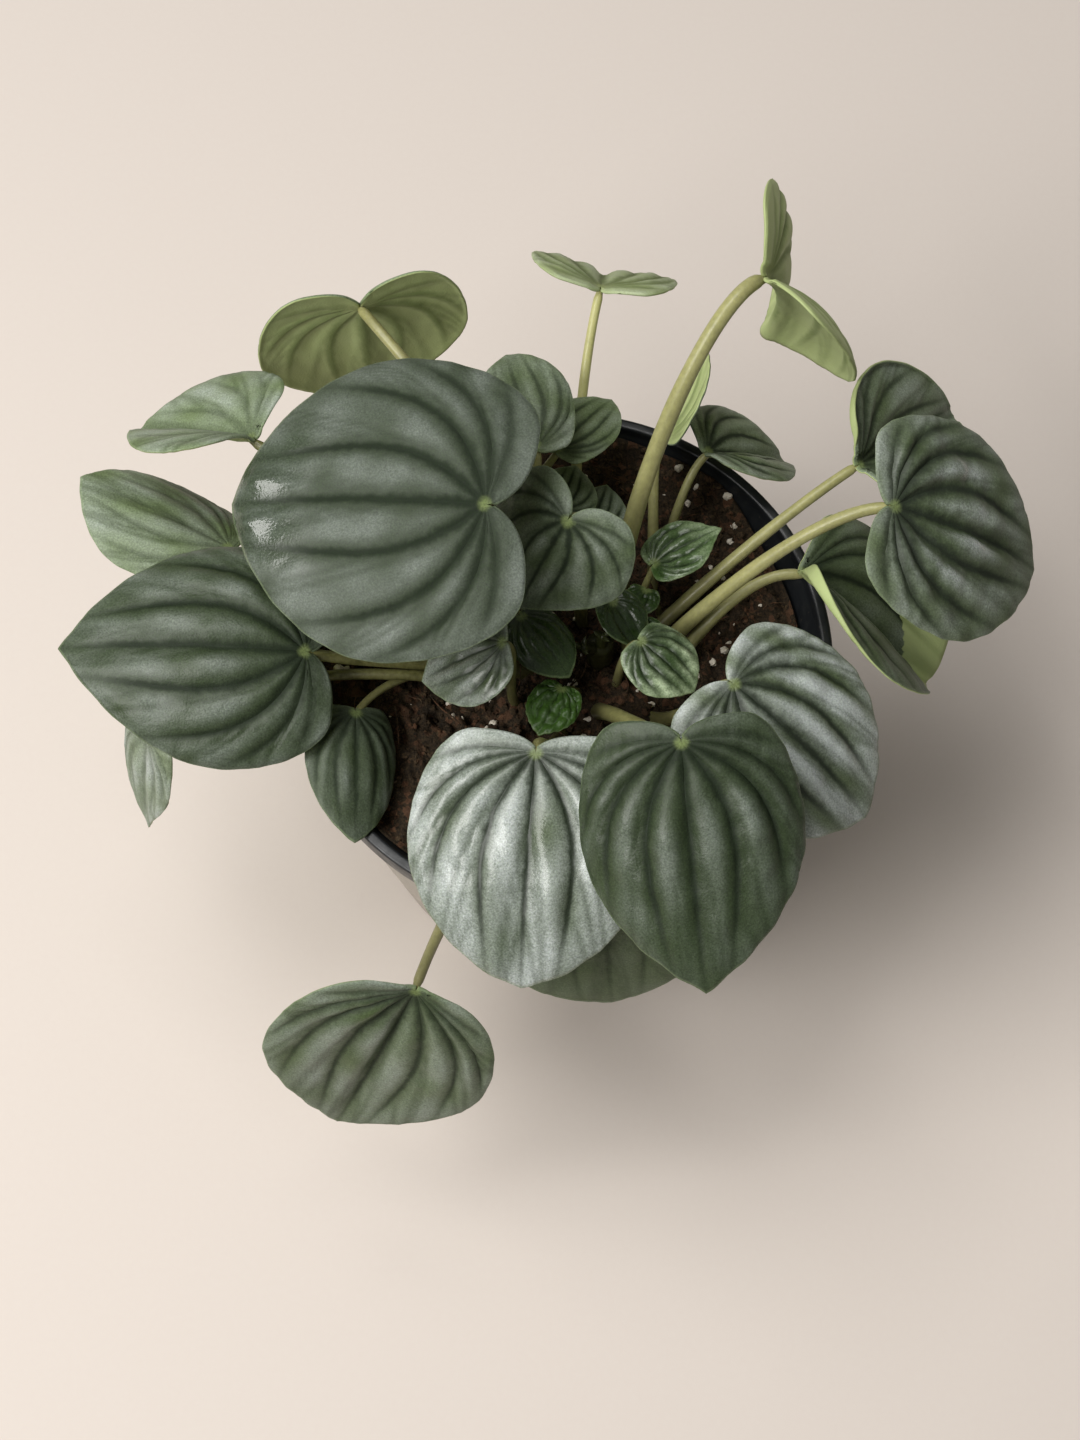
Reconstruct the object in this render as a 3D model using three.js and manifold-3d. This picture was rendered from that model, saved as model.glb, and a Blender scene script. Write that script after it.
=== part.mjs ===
// Potted peperomia: a rosette of quilted, heart-shaped leaves on fleshy stalks, in a nursery pot that
// stands in a pale outer pot. Millimetres, +Z up, origin at the centre of the outer pot's flat underside.
import * as THREE from "three";
import { mergeVertices } from "three/addons/utils/BufferGeometryUtils.js";
import Module from "manifold-3d";

const wasm = await Module();
wasm.setup();

// Pots
const RIM_TOP = 90;
const RIM_RADIUS = 54;
const LIP_HEIGHT = 6;
const LIP_WIDTH = 2.2;
const NURSERY_WALL = 1.3;
const NURSERY_SHOULDER_RADIUS = 49.6;
const NURSERY_BASE_RADIUS = 37.5;
const NURSERY_FLOOR = 1.6;
const DRAIN_HOLE_RADIUS = 4;
const DRAIN_HOLE_CIRCLE = 24;
const DRAIN_HOLES = 4;
const OUTER_TOP_RADIUS = 52.6;
const OUTER_BASE_RADIUS = 42;
const OUTER_WALL = 2.4;
const OUTER_FLOOR = 3.5;
const OUTER_FOOT_ROUND = 2;
const GAP = 0.3;
const POT_SIDES = 36;

// Soil
const SOIL_TOP = 87.2;
const SOIL_EDGE_DROP = 0.9;
const SOIL_LUMP = 1.1;
const SOIL_SIDES = 24;
const SOIL_RING_COUNT = 5;

// Plant
const CROWN_X = 7.7;
const CROWN_Y = 1.6;
const CROWN_HEIGHT = 9;
const CROWN_RADIUS = 3.2;
const ROOT_DEPTH = 7;
const HOLE_CLEARANCE = 0.35;
const BLADE_THICKNESS = 0.9;
const STALK_SIDES = 6;
const STALK_OVERRUN = 0.6;
const STALK_SINK = 0.55;

// Each leaf: attach is where the stalk meets the blade, tip is the blade's point, root is where the stalk
// enters the soil. Then the blade's width, its lobes behind attach, its roll about the midrib, the angle of
// its V fold, and how far its sides and its tip curl down, all in mm and degrees. point is 0 for a round tip
// and 1 for a sharp one, widest is the share of the length where the blade is widest, and up is near the
// blade's upper side where that isn't the sky. back is the share of the half width where a lobe's back is.
// stalk holds the stalk's radius at root and at attach. rise and reach say how steeply it leaves the soil and
// comes to the blade, and lean and meet shift its two bends.
const RIM = RIM_TOP;
const leaves = [
  {
    name: "leaf_01_upper_left_large",
    attach: [-14, 10, RIM + 46], tip: [-62, 17, RIM + 32], root: [0.9, 4.5],
    width: 60, lobe: 8.5, roll: -10, fold: 3, curl: 24, droop: 30, point: 0.2, widest: 0.36,
    stalk: [1.7, 1.1], rise: 22, reach: 14, lean: [-17, 3, -8], meet: [-13, 3, -12],
  },
  {
    name: "leaf_02_left_large",
    attach: [-49, -6, RIM + 15], tip: [-97, -4, RIM + 12], root: [-4.5, -1.3],
    width: 48, lobe: 6, roll: -6, fold: 4, curl: 38, droop: 34, point: 0.5, widest: 0.3,
    stalk: [1.6, 1.1], rise: 2, reach: 14,
  },
  {
    name: "leaf_03_left_upper",
    attach: [-66, 20, RIM + 6], tip: [-96, 34.5, RIM + 9], root: [-5.5, 6.5],
    width: 30, lobe: 1.2, roll: 26, fold: 2, curl: 38, droop: 8, point: 0.35, widest: 0.48,
    stalk: [1.5, 1], rise: 14, reach: 12,
  },
  {
    name: "leaf_04_left_folded",
    attach: [-60, 35, RIM + 24], tip: [-86.3, 44.5, RIM + 8.5], root: [-3, 10.8],
    width: 37, lobe: 1.6, roll: 29, fold: 40, curl: 4, droop: 6, point: 0.8, widest: 0.31,
    stalk: [1.4, 1], rise: 10, reach: 12,
  },
  {
    name: "leaf_05_far_left_hanging",
    attach: [-40, 65, RIM + 23], tip: [-40, 65, RIM - 14], root: [0.4, 17.7],
    width: 44, lobe: 8, roll: -4, fold: 8, curl: 6, droop: 10, point: 0.2, widest: 0.38,
    stalk: [1.5, 1], rise: 14, reach: 14, up: [-0.2, 1, 0],
  },
  {
    name: "leaf_06_upper_middle",
    attach: [-5, 33, RIM + 24], tip: [-11, 57, RIM + 18], root: [-3.5, 14.3],
    width: 20, lobe: 2, roll: -12, fold: 6, curl: 14, droop: 26, point: 0.2, widest: 0.42,
    stalk: [1.2, 0.8], rise: 6, reach: 8, lean: [-8, 0, 0],
  },
  {
    name: "leaf_07_upper_small",
    attach: [-0.7, 36.4, RIM + 16.6], tip: [10.3, 50.9, RIM + 10.6], root: [-8.8, 24.2],
    width: 15.5, lobe: 1.5, roll: -10, fold: 8, curl: 6, droop: 17, point: 0.3, widest: 0.4,
    stalk: [1, 0.75], rise: 8, reach: 6,
  },
  {
    name: "leaf_08_middle",
    attach: [1, 12.6, RIM + 34], tip: [-8.5, 1, RIM + 19.5], root: [4.3, 8.4],
    width: 32, lobe: 6, roll: 0, fold: 2, curl: 34, droop: 20, point: 0.75, widest: 0.28,
    stalk: [1.4, 1], rise: 10, reach: 8,
  },
  {
    name: "leaf_09_middle_small",
    attach: [6.4, 25.6, RIM + 4], tip: [9.4, 36.6, RIM + 1], root: [7.6, 12.4],
    width: 12, lobe: 1.5, roll: 0, fold: 6, curl: 10, droop: 12,
    stalk: [0.9, 0.65], rise: 1, reach: 4,
  },
  {
    name: "leaf_10_far_edge",
    attach: [8, 71, RIM + 20], tip: [9, 91, RIM - 11], root: [4.6, 19.6],
    width: 31, lobe: 4, roll: 9, fold: 18, curl: 3, droop: 28, point: 0.1, widest: 0.35,
    stalk: [1.2, 0.9], rise: 2, reach: 6, lean: [-3, 6.5, -1], meet: [-3, -8, -7],
  },
  {
    name: "leaf_11_behind_middle",
    attach: [0, 28, RIM + 8], tip: [3, 38.4, RIM + 6], root: [3.3, 12.3],
    width: 13, lobe: 2, roll: 6, fold: 4, curl: 14, droop: 16,
    stalk: [1.1, 0.8], rise: 4, reach: 3,
  },
  {
    name: "leaf_12_far_right_high",
    attach: [37.5, 53, RIM + 53], tip: [41.5, 67, RIM + 9], root: [11.6, 11.8],
    width: 44, lobe: 5.4, roll: -3, fold: 44, curl: 3, droop: 32, point: 0, widest: 0.49,
    stalk: [2, 1.4], rise: 26, reach: 18, lean: [-4, 0, 0], up: [0.91, 0.5, -0.57],
  },
  {
    name: "leaf_13_right_behind",
    attach: [58, 32, RIM + 18.6], tip: [81, 52.5, RIM + 1], root: [16.5, 5.5],
    width: 35, lobe: 1, roll: 20, fold: 44, curl: 11, droop: 4, point: 0.44, widest: 0.37,
    stalk: [1.5, 1], rise: 2, reach: 14,
  },
  {
    name: "leaf_14_right_large",
    attach: [61.5, 15, RIM + 35], tip: [93, 14, RIM + 9], root: [17, 1.1],
    width: 44, lobe: 5, roll: 8, fold: 12, curl: 20, droop: 32, point: 0.5, widest: 0.37,
    stalk: [1.7, 1.1], rise: 4, reach: 16,
  },
  {
    name: "leaf_15_dark_at_rim",
    attach: [29.5, 40, RIM + 8.5], tip: [47.5, 46, RIM - 8], root: [19.4, 20.1],
    width: 25, lobe: 2, roll: -18, fold: 34, curl: 4, droop: 14, point: 0.7, widest: 0.38,
    stalk: [1.1, 0.8], rise: 2, reach: 6,
  },
  {
    name: "leaf_16_young_shiny",
    attach: [18.3, 15.2, RIM + 9], tip: [31.6, 22.1, RIM + 11], root: [13.1, 6],
    width: 12.5, lobe: 1.2, roll: -12, fold: 10, curl: 8, droop: 18, point: 0.85, widest: 0.4,
    stalk: [0.9, 0.65], rise: 1, reach: 4,
  },
  {
    name: "leaf_17_right_lower",
    attach: [47, 12, RIM + 12], tip: [72, -5, RIM - 7], root: [18.9, -3.8],
    width: 43, lobe: 1.5, roll: -35, fold: 42, curl: 4, droop: 16, point: 0.1, widest: 0.47,
    stalk: [1.5, 1], rise: 1, reach: 14,
  },
  {
    name: "leaf_18_right_front",
    attach: [31.5, -17, RIM + 26], tip: [57, -38, RIM + 11], root: [13.5, -8.6],
    width: 42, lobe: 5, roll: -4, fold: 2, curl: 22, droop: 40, point: 0.3, widest: 0.37,
    stalk: [1.6, 1.1], rise: 1, reach: 6, lean: [11, -8, 0],
  },
  {
    name: "leaf_19_front_large",
    attach: [21, -32, RIM + 36], tip: [26, -72, RIM + 12], root: [7.2, -9.1],
    width: 44, lobe: 4.5, roll: 11, fold: 3, curl: 38, droop: 22, point: 0.5, widest: 0.36,
    stalk: [1.7, 1.1], rise: 6, reach: 12, meet: [-3, -5, -11],
  },
  {
    name: "leaf_20_front_silver",
    attach: [-5, -29, RIM + 22], tip: [-7.8, -68.4, RIM + 2], root: [1.8, -9.6],
    width: 47, lobe: 4, roll: 4, fold: 2, curl: 20, droop: 34, point: 0.15, widest: 0.38,
    stalk: [1.6, 1.1], rise: 1, reach: 8, lean: [-4, -14, 0],
  },
  {
    name: "leaf_21_front_low",
    attach: [7, -49, RIM + 9], tip: [10, -65.5, RIM - 22], root: [5.7, -15],
    width: 43, lobe: 4, roll: 4, fold: 4, curl: 4, droop: 26, point: 0.25, widest: 0.38,
    stalk: [1.5, 1], rise: 4, reach: 10,
  },
  {
    name: "leaf_22_front_left_hanging",
    attach: [-28, -66, RIM - 9], tip: [-46.3, -83.3, RIM - 53], root: [-1.1, -16],
    width: 46, lobe: 0.8, back: 0.32, roll: -38, fold: 15, curl: 5, droop: 6, point: 0.7, widest: 0.47,
    stalk: [1.4, 1], rise: 34, reach: 16, lean: [-8, -22, 0],
  },
  {
    name: "leaf_23_left_small",
    attach: [-40, -14.5, RIM + 5], tip: [-39.5, -40, RIM + 2], root: [-12, -1.5],
    width: 20, lobe: 1.2, roll: -24, fold: 2, curl: 38, droop: 6, point: 0.25, widest: 0.3,
    stalk: [1, 0.75], rise: 3, reach: 6, meet: [8, 8, 0],
  },
  {
    name: "leaf_24_left_inner",
    attach: [-11, -7, RIM + 22], tip: [-27, -10, RIM + 10], root: [-6.4, -8.2],
    width: 20, lobe: 1.2, roll: 4, fold: 8, curl: 18, droop: 18, widest: 0.36,
    stalk: [1.1, 0.8], rise: 4, reach: 5, lean: [-4, -2, 0],
  },
  {
    name: "leaf_25_young_spoon",
    attach: [-8, 3.1, RIM + 11], tip: [1.5, -8.8, RIM + 9], root: [2.3, -0.4],
    width: 13, lobe: 1, roll: -14, fold: 6, curl: 12, droop: 16, point: 0.3, widest: 0.46,
    stalk: [0.9, 0.65], rise: 1, reach: 4,
  },
  {
    name: "leaf_26_young_bright",
    attach: [0, -9.6, RIM + 5], tip: [-4.5, -19.5, RIM + 6], root: [4.3, -5.7],
    width: 10.5, lobe: 1, roll: 4, fold: 4, curl: 18, droop: 10, point: 0.3, widest: 0.38,
    stalk: [0.8, 0.6], rise: 1, reach: 3,
  },
  {
    name: "leaf_27_young_curled",
    attach: [9.9, 6.7, RIM + 10], tip: [14.9, -2.2, RIM + 8], root: [13.1, 2.1],
    width: 10, lobe: 1.4, roll: -12, fold: 20, curl: 5, droop: 16, point: 0.4, widest: 0.38,
    stalk: [0.8, 0.6], rise: 1, reach: 3,
  },
  {
    name: "leaf_28_striped_shiny",
    attach: [15, -3.9, RIM + 15], tip: [25.4, -12.9, RIM + 12], root: [10.6, -4.8],
    width: 15, lobe: 1.2, roll: -6, fold: 6, curl: 22, droop: 20, point: 0.4, widest: 0.44,
    stalk: [1, 0.75], rise: 2, reach: 5,
  },
  {
    name: "leaf_29_low_left_folded",
    attach: [-82, -15, RIM - 7], tip: [-85.5, -26, RIM - 32], root: [-9.9, -5.2],
    width: 18, lobe: 8, roll: 37, fold: 12, curl: 16, droop: 14, point: 0.9, widest: 0.28,
    stalk: [1.2, 0.9], rise: 20, reach: 22,
  },
  {
    name: "leaf_30_edge_on_at_rim",
    attach: [21, 41, RIM + 13], tip: [28.5, 60, RIM + 18], root: [17.9, 14.3],
    width: 19, lobe: 1.6, roll: 0, fold: 20, curl: 4, droop: 14, widest: 0.37,
    stalk: [1.3, 0.9], rise: 4, reach: 6, up: [0.85, 0.3, -0.1],
  },
  {
    name: "leaf_31_under_large",
    attach: [-25.7, 2, RIM + 2.5], tip: [-42.4, 5.4, RIM - 1], root: [-8.9, 2.6],
    width: 14, lobe: 1.4, roll: 6, fold: 3, curl: 16, droop: 10,
    stalk: [1, 0.75], rise: 1, reach: 5,
  },
  {
    name: "leaf_32_tiny_upper",
    attach: [16.7, 10.8, RIM + 6], tip: [13.8, 3.9, RIM + 8], root: [19.4, 9.9],
    width: 7, lobe: 0.8, roll: 0, fold: 10, curl: 10, droop: 14,
    stalk: [0.7, 0.55], rise: 1, reach: 2,
  },
  {
    name: "leaf_33_tiny_lower",
    attach: [15.9, 2.7, RIM + 7], tip: [19.8, -2.2, RIM + 7], root: [15, -2.8],
    width: 6.5, lobe: 0.8, roll: 0, fold: 10, curl: 10, droop: 14,
    stalk: [0.7, 0.55], rise: 1, reach: 2,
  },
];

// Veins run from attach to these places on the half outline: 0 is the tip, 1 the widest place, 2 the back of
// the lobe and 3 the notch.
const VEIN_PLACES = [0, 0.17, 0.56, 0.96, 1.5, 3];
const LARGE_BLADE_LENGTH = 30;
const TINY_BLADE_LENGTH = 14;
const LARGE_RINGS = [0.3, 0.64, 0.88, 1];
const SMALL_RINGS = [0.42, 0.82, 1];
const TINY_RINGS = [0.55, 1];
const LARGE_PLACES = [0, 0.09, 0.17, 0.36, 0.56, 0.76, 0.96, 1.23, 1.5, 2, 2.5, 3];
const SMALL_PLACES = [0, 0.17, 0.36, 0.56, 0.96, 1.5, 2.2, 3];
const TINY_PLACES = [0, 0.3, 0.96, 1.6, 2.3, 3];
const RELIEF_SHARE = 0.035;
const EDGE_RELIEF = 0.3;
const FOLD_ROUND = 2.5;

// Rays arch like the veins. For each of these places, a ray leaves attach turned towards the notch by this
// share of the room there (lead), ends turned towards the tip by this angle (close), and keeps each of those
// headings for this share of its reach (out and back). Leaves with short lobes have less lead and close.
const RAY_PLACES = [0, 0.22, 0.62, 0.98, 1.5, 2, 3];
const RAY_LEAD = [0, 0.34, 0.42, 0.54, 0.46, 0.12, 0];
const RAY_LEAD_SHORT = [0, 0.34, 0.42, 0.46, 0.32, 0.12, 0];
const RAY_CLOSE = [0, 20, 34, 38, 24, 0, 0];
const RAY_CLOSE_SHORT = [0, 20, 27, 23, 7, 0, 0];
const RAY_OUT = [0.4, 0.4, 0.39, 0.4, 0.38, 0.33, 0.33];
const RAY_BACK = [0.5, 0.5, 0.52, 0.46, 0.38, 0.33, 0.33];
const LONG_LOBE_SHARE = 0.14;
const LOBE_ROOM = 0.35;

function bezier(a, b, c, d, t) {
  const s = 1 - t;
  const wa = s * s * s;
  const wb = 3 * s * s * t;
  const wc = 3 * s * t * t;
  const wd = t * t * t;
  return [wa * a[0] + wb * b[0] + wc * c[0] + wd * d[0], wa * a[1] + wb * b[1] + wc * c[1] + wd * d[1]];
}

// The half outline of a flat blade of a leaf, along +X from attach at the origin, for place 0 to 3.
function outline(leaf, length, place) {
  const half = leaf.width / 2;
  const lobe = leaf.lobe;
  const point = leaf.point ?? 0.55;
  const widest = (leaf.widest ?? 0.33) * length;
  const backY = (leaf.back ?? 0.52) * half;
  if (place <= 1) {
    const shoulder = [length - (length - widest) * (0.1 + 0.3 * point), half * (0.62 - 0.3 * point)];
    return bezier([length, 0], shoulder, [widest + 0.42 * (length - widest), half], [widest, half], place);
  }
  if (place <= 2) {
    const turn = [widest - 0.55 * (widest + lobe), half];
    return bezier([widest, half], turn, [-lobe, backY + 0.5 * (half - backY)], [-lobe, backY], place - 1);
  }
  const inner = [-0.75 * lobe - 0.1, 0.18 * backY + 0.15];
  return bezier([-lobe, backY], [-lobe, 0.5 * backY], inner, [-0.12 * lobe - 0.55, 0.25], place - 2);
}

// The value at a place in a table over RAY_PLACES.
function rayValue(table, place) {
  let band = 0;
  while (band < RAY_PLACES.length - 2 && place > RAY_PLACES[band + 1]) {
    band += 1;
  }
  const part = (place - RAY_PLACES[band]) / (RAY_PLACES[band + 1] - RAY_PLACES[band]);
  return THREE.MathUtils.lerp(table[band], table[band + 1], part);
}

function outlineAngle(leaf, length, place) {
  const [x, y] = outline(leaf, length, place);
  return Math.atan2(y, x);
}

// A point of the flat blade: place chooses the ray (negative on the right side), share runs along it.
function rayPoint(leaf, length, place, share) {
  const at = Math.abs(place);
  const [mx, my] = outline(leaf, length, at);
  const reach = Math.hypot(mx, my);
  const angle = Math.atan2(my, mx);
  const lobed = Math.min(1, leaf.lobe / (LONG_LOBE_SHARE * leaf.width));
  const lead = THREE.MathUtils.lerp(rayValue(RAY_LEAD_SHORT, at), rayValue(RAY_LEAD, at), lobed);
  const close = THREE.MathUtils.lerp(rayValue(RAY_CLOSE_SHORT, at), rayValue(RAY_CLOSE, at), lobed);
  const back = outlineAngle(leaf, length, 2);
  const far = back + LOBE_ROOM * lobed * (outlineAngle(leaf, length, 3) - back);
  const start = angle + lead * Math.max(0, far - angle);
  const end = angle - THREE.MathUtils.degToRad(close);
  const out = rayValue(RAY_OUT, at) * reach;
  const before = rayValue(RAY_BACK, at) * reach;
  const bendOut = [out * Math.cos(start), out * Math.sin(start)];
  const bendIn = [mx - before * Math.cos(end), my - before * Math.sin(end)];
  const [x, y] = bezier([0, 0], bendOut, bendIn, [mx, my], share);
  return [x, Math.sign(place) * y];
}

// Height of the quilted surface: low on the veins, high between them.
function relief(leaf, length, place, share) {
  const at = Math.abs(place);
  let band = 0;
  while (band < VEIN_PLACES.length - 2 && at > VEIN_PLACES[band + 1]) {
    band += 1;
  }
  const across = (at - VEIN_PLACES[band]) / (VEIN_PLACES[band + 1] - VEIN_PLACES[band]);
  const swell = Math.sin(Math.PI * Math.min(1, across));
  const along = Math.sin(Math.PI * Math.pow(share, 0.8)) * (1 - EDGE_RELIEF) + EDGE_RELIEF * share;
  const [mx, my] = outline(leaf, length, at);
  return RELIEF_SHARE * Math.hypot(mx, my) * Math.max(0, swell) * along;
}

// Bends the flat blade: its sides turn up by the fold and then curl down, and its length arches down.
function bend(leaf, length, x, y, z) {
  const half = leaf.width / 2;
  const fold = THREE.MathUtils.degToRad(leaf.fold) * Math.min(1, Math.abs(y) / FOLD_ROUND);
  const curl = THREE.MathUtils.degToRad(leaf.curl + leaf.fold) / half;
  const droop = THREE.MathUtils.degToRad(leaf.droop) / length;
  const run = Math.abs(y);
  const side = (Math.sin(fold) - Math.sin(fold - curl * run)) / curl;
  const lift = (Math.cos(fold - curl * run) - Math.cos(fold)) / curl;
  const tilt = fold - curl * run;
  const ySide = Math.sign(y) * (side - z * Math.sin(tilt));
  const zSide = lift + z * Math.cos(tilt);
  const start = 0.5 * droop * length;
  const heading = start - droop * x;
  const xLong = (Math.sin(start) - Math.sin(heading)) / droop;
  const zLong = (Math.cos(heading) - Math.cos(start)) / droop;
  return new THREE.Vector3(xLong - zSide * Math.sin(heading), ySide, zLong + zSide * Math.cos(heading));
}

// Places the bent blade: its chord runs from attach to tip, and roll turns it about that chord.
function bladeFrame(leaf) {
  const attach = new THREE.Vector3(...leaf.attach);
  const chord = new THREE.Vector3(...leaf.tip).sub(attach);
  const along = chord.clone().normalize();
  const up = new THREE.Vector3(...(leaf.up ?? [0, 0, 1]));
  const side = new THREE.Vector3().crossVectors(up, along).normalize();
  side.applyAxisAngle(along, THREE.MathUtils.degToRad(leaf.roll));
  const normal = new THREE.Vector3().crossVectors(along, side);
  return { attach, along, side, normal, chord: chord.length() };
}

function bladeLength(leaf, chord) {
  const halfTurn = THREE.MathUtils.degToRad(leaf.droop) / 2;
  return (chord * halfTurn) / Math.sin(halfTurn);
}

// The places of the blade's rays, from one side of the notch round to the other, fewer on small leaves.
function columnPlaces(length) {
  let half = SMALL_PLACES;
  if (length > LARGE_BLADE_LENGTH) {
    half = LARGE_PLACES;
  }
  if (length < TINY_BLADE_LENGTH) {
    half = TINY_PLACES;
  }
  const mirrored = half.slice(1).reverse().map((place) => -place);
  return [...mirrored, ...half];
}

function ringShares(length) {
  if (length > LARGE_BLADE_LENGTH) {
    return LARGE_RINGS;
  }
  return length < TINY_BLADE_LENGTH ? TINY_RINGS : SMALL_RINGS;
}

function bladeGeometry(leaf) {
  const frame = bladeFrame(leaf);
  const length = bladeLength(leaf, frame.chord);
  const places = columnPlaces(length);
  const rings = ringShares(length);
  const middle = [bend(leaf, length, 0, 0, 0)];
  for (const place of places) {
    for (const share of rings) {
      const [x, y] = rayPoint(leaf, length, place, share);
      middle.push(bend(leaf, length, x, y, relief(leaf, length, place, share)));
    }
  }
  const faces = [];
  const index = (column, ring) => 1 + column * rings.length + ring;
  for (let column = 0; column < places.length - 1; column += 1) {
    faces.push([0, index(column, 0), index(column + 1, 0)]);
    for (let ring = 0; ring < rings.length - 1; ring += 1) {
      const a = index(column, ring);
      const b = index(column, ring + 1);
      const c = index(column + 1, ring + 1);
      const d = index(column + 1, ring);
      faces.push([a, b, c], [a, c, d]);
    }
  }
  const border = [0];
  for (let ring = 0; ring < rings.length; ring += 1) {
    border.push(index(0, ring));
  }
  for (let column = 1; column < places.length; column += 1) {
    border.push(index(column, rings.length - 1));
  }
  for (let ring = rings.length - 2; ring >= 0; ring -= 1) {
    border.push(index(places.length - 1, ring));
  }
  return thicken(middle, faces, border, BLADE_THICKNESS, frame);
}

// Turns a sheet into a closed solid of even thickness, split into triangles alike on both faces.
function thicken(middle, faces, border, thickness, frame) {
  const normals = middle.map(() => new THREE.Vector3());
  const cross = new THREE.Vector3();
  for (const [a, b, c] of faces) {
    const ab = middle[b].clone().sub(middle[a]);
    const ac = middle[c].clone().sub(middle[a]);
    cross.crossVectors(ab, ac);
    for (const corner of [a, b, c]) {
      normals[corner].add(cross);
    }
  }
  const place = new THREE.Matrix4().makeBasis(frame.along, frame.side, frame.normal);
  place.setPosition(frame.attach);
  const positions = [];
  for (const sign of [1, -1]) {
    middle.forEach((point, i) => {
      const offset = normals[i].clone().normalize().multiplyScalar((sign * thickness) / 2);
      positions.push(...point.clone().add(offset).applyMatrix4(place).toArray());
    });
  }
  const count = middle.length;
  const indices = [];
  for (const [a, b, c] of faces) {
    indices.push(a, b, c, a + count, c + count, b + count);
  }
  border.forEach((from, i) => {
    const to = border[(i + 1) % border.length];
    indices.push(from, from + count, to + count, from, to + count, to);
  });
  return closedGeometry(positions, indices);
}

function closedGeometry(positions, indices) {
  const geometry = new THREE.BufferGeometry();
  geometry.setAttribute("position", new THREE.Float32BufferAttribute(positions, 3));
  geometry.setIndex(indices);
  return geometry;
}

// A round bar along a curve, with its radius running evenly from one end to the other, closed at both ends.
function taperedBar(curve, startRadius, endRadius, sides, steps) {
  const frames = curve.computeFrenetFrames(steps, false);
  const positions = [];
  for (let step = 0; step <= steps; step += 1) {
    const centre = curve.getPointAt(step / steps);
    const radius = THREE.MathUtils.lerp(startRadius, endRadius, step / steps);
    for (let side = 0; side < sides; side += 1) {
      const turn = (2 * Math.PI * side) / sides;
      const out = frames.normals[step].clone().multiplyScalar(Math.cos(turn));
      out.addScaledVector(frames.binormals[step], Math.sin(turn)).multiplyScalar(radius);
      positions.push(...centre.clone().add(out).toArray());
    }
  }
  const first = positions.length / 3;
  positions.push(...curve.getPointAt(0).toArray(), ...curve.getPointAt(1).toArray());
  const indices = [];
  for (let side = 0; side < sides; side += 1) {
    const next = (side + 1) % sides;
    for (let step = 0; step < steps; step += 1) {
      const a = step * sides + side;
      const b = step * sides + next;
      indices.push(a, b, b + sides, a, b + sides, a + sides);
    }
    indices.push(first, next, side, first + 1, steps * sides + side, steps * sides + next);
  }
  return closedGeometry(positions, indices);
}

function stalkCurve(leaf, extra) {
  const frame = bladeFrame(leaf);
  const root = new THREE.Vector3(leaf.root[0], leaf.root[1], SOIL_TOP - ROOT_DEPTH - extra);
  const end = bend(leaf, bladeLength(leaf, frame.chord), 0, 0, 0);
  const top = frame.attach.clone().addScaledVector(frame.along, end.x + STALK_OVERRUN);
  top.addScaledVector(frame.normal, end.z - STALK_SINK * leaf.stalk[1]);
  const lean = new THREE.Vector3(...(leaf.lean ?? [0, 0, 0]));
  const out = new THREE.Vector3(leaf.root[0] - CROWN_X, leaf.root[1] - CROWN_Y, 0).multiplyScalar(0.02);
  const start = new THREE.Vector3(0, 0, 1).add(out).normalize().multiplyScalar(ROOT_DEPTH + leaf.rise);
  const near = top.clone().addScaledVector(frame.along, -0.75 * leaf.reach);
  near.addScaledVector(frame.normal, -0.55 * leaf.reach);
  near.add(new THREE.Vector3(...(leaf.meet ?? [0, 0, 0])));
  const square = top.clone().sub(near).normalize().dot(frame.normal);
  top.addScaledVector(frame.normal, STALK_SINK * leaf.stalk[1] * square);
  return new THREE.CubicBezierCurve3(root, root.clone().add(start).add(lean), near, top);
}

function stalkGeometry(leaf, extra) {
  const large = leaf.width > LARGE_BLADE_LENGTH;
  const curve = stalkCurve(leaf, extra);
  return taperedBar(curve, leaf.stalk[0] + extra, leaf.stalk[1] + extra, STALK_SIDES, large ? 7 : 5);
}

function solidOf(geometry) {
  const bare = new THREE.BufferGeometry();
  bare.setAttribute("position", geometry.getAttribute("position").clone());
  if (geometry.index) {
    bare.setIndex(geometry.index.clone());
  }
  const merged = mergeVertices(bare, 1e-4);
  const vertProperties = new Float32Array(merged.getAttribute("position").array);
  const triVerts = new Uint32Array(merged.index.array);
  return new wasm.Manifold(new wasm.Mesh({ numProp: 3, vertProperties, triVerts }));
}

// The largest body of a joined solid, without the slivers that a join can leave.
function mainBody(solid) {
  const bodies = solid.decompose();
  bodies.sort((a, b) => b.volume() - a.volume());
  return bodies[0];
}

function geometryOf(solid) {
  const mesh = solid.getMesh();
  const geometry = new THREE.BufferGeometry();
  geometry.setAttribute("position", new THREE.BufferAttribute(new Float32Array(mesh.vertProperties), 3));
  geometry.setIndex(new THREE.BufferAttribute(new Uint32Array(mesh.triVerts), 1));
  geometry.computeVertexNormals();
  return geometry;
}

// A solid turned about the pot's axis from a list of radius and height pairs.
function turned(profile, sides) {
  const points = profile.map(([radius, height]) => new THREE.Vector2(radius, height));
  const geometry = new THREE.LatheGeometry(points, sides);
  geometry.rotateX(Math.PI / 2);
  return geometry;
}

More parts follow.
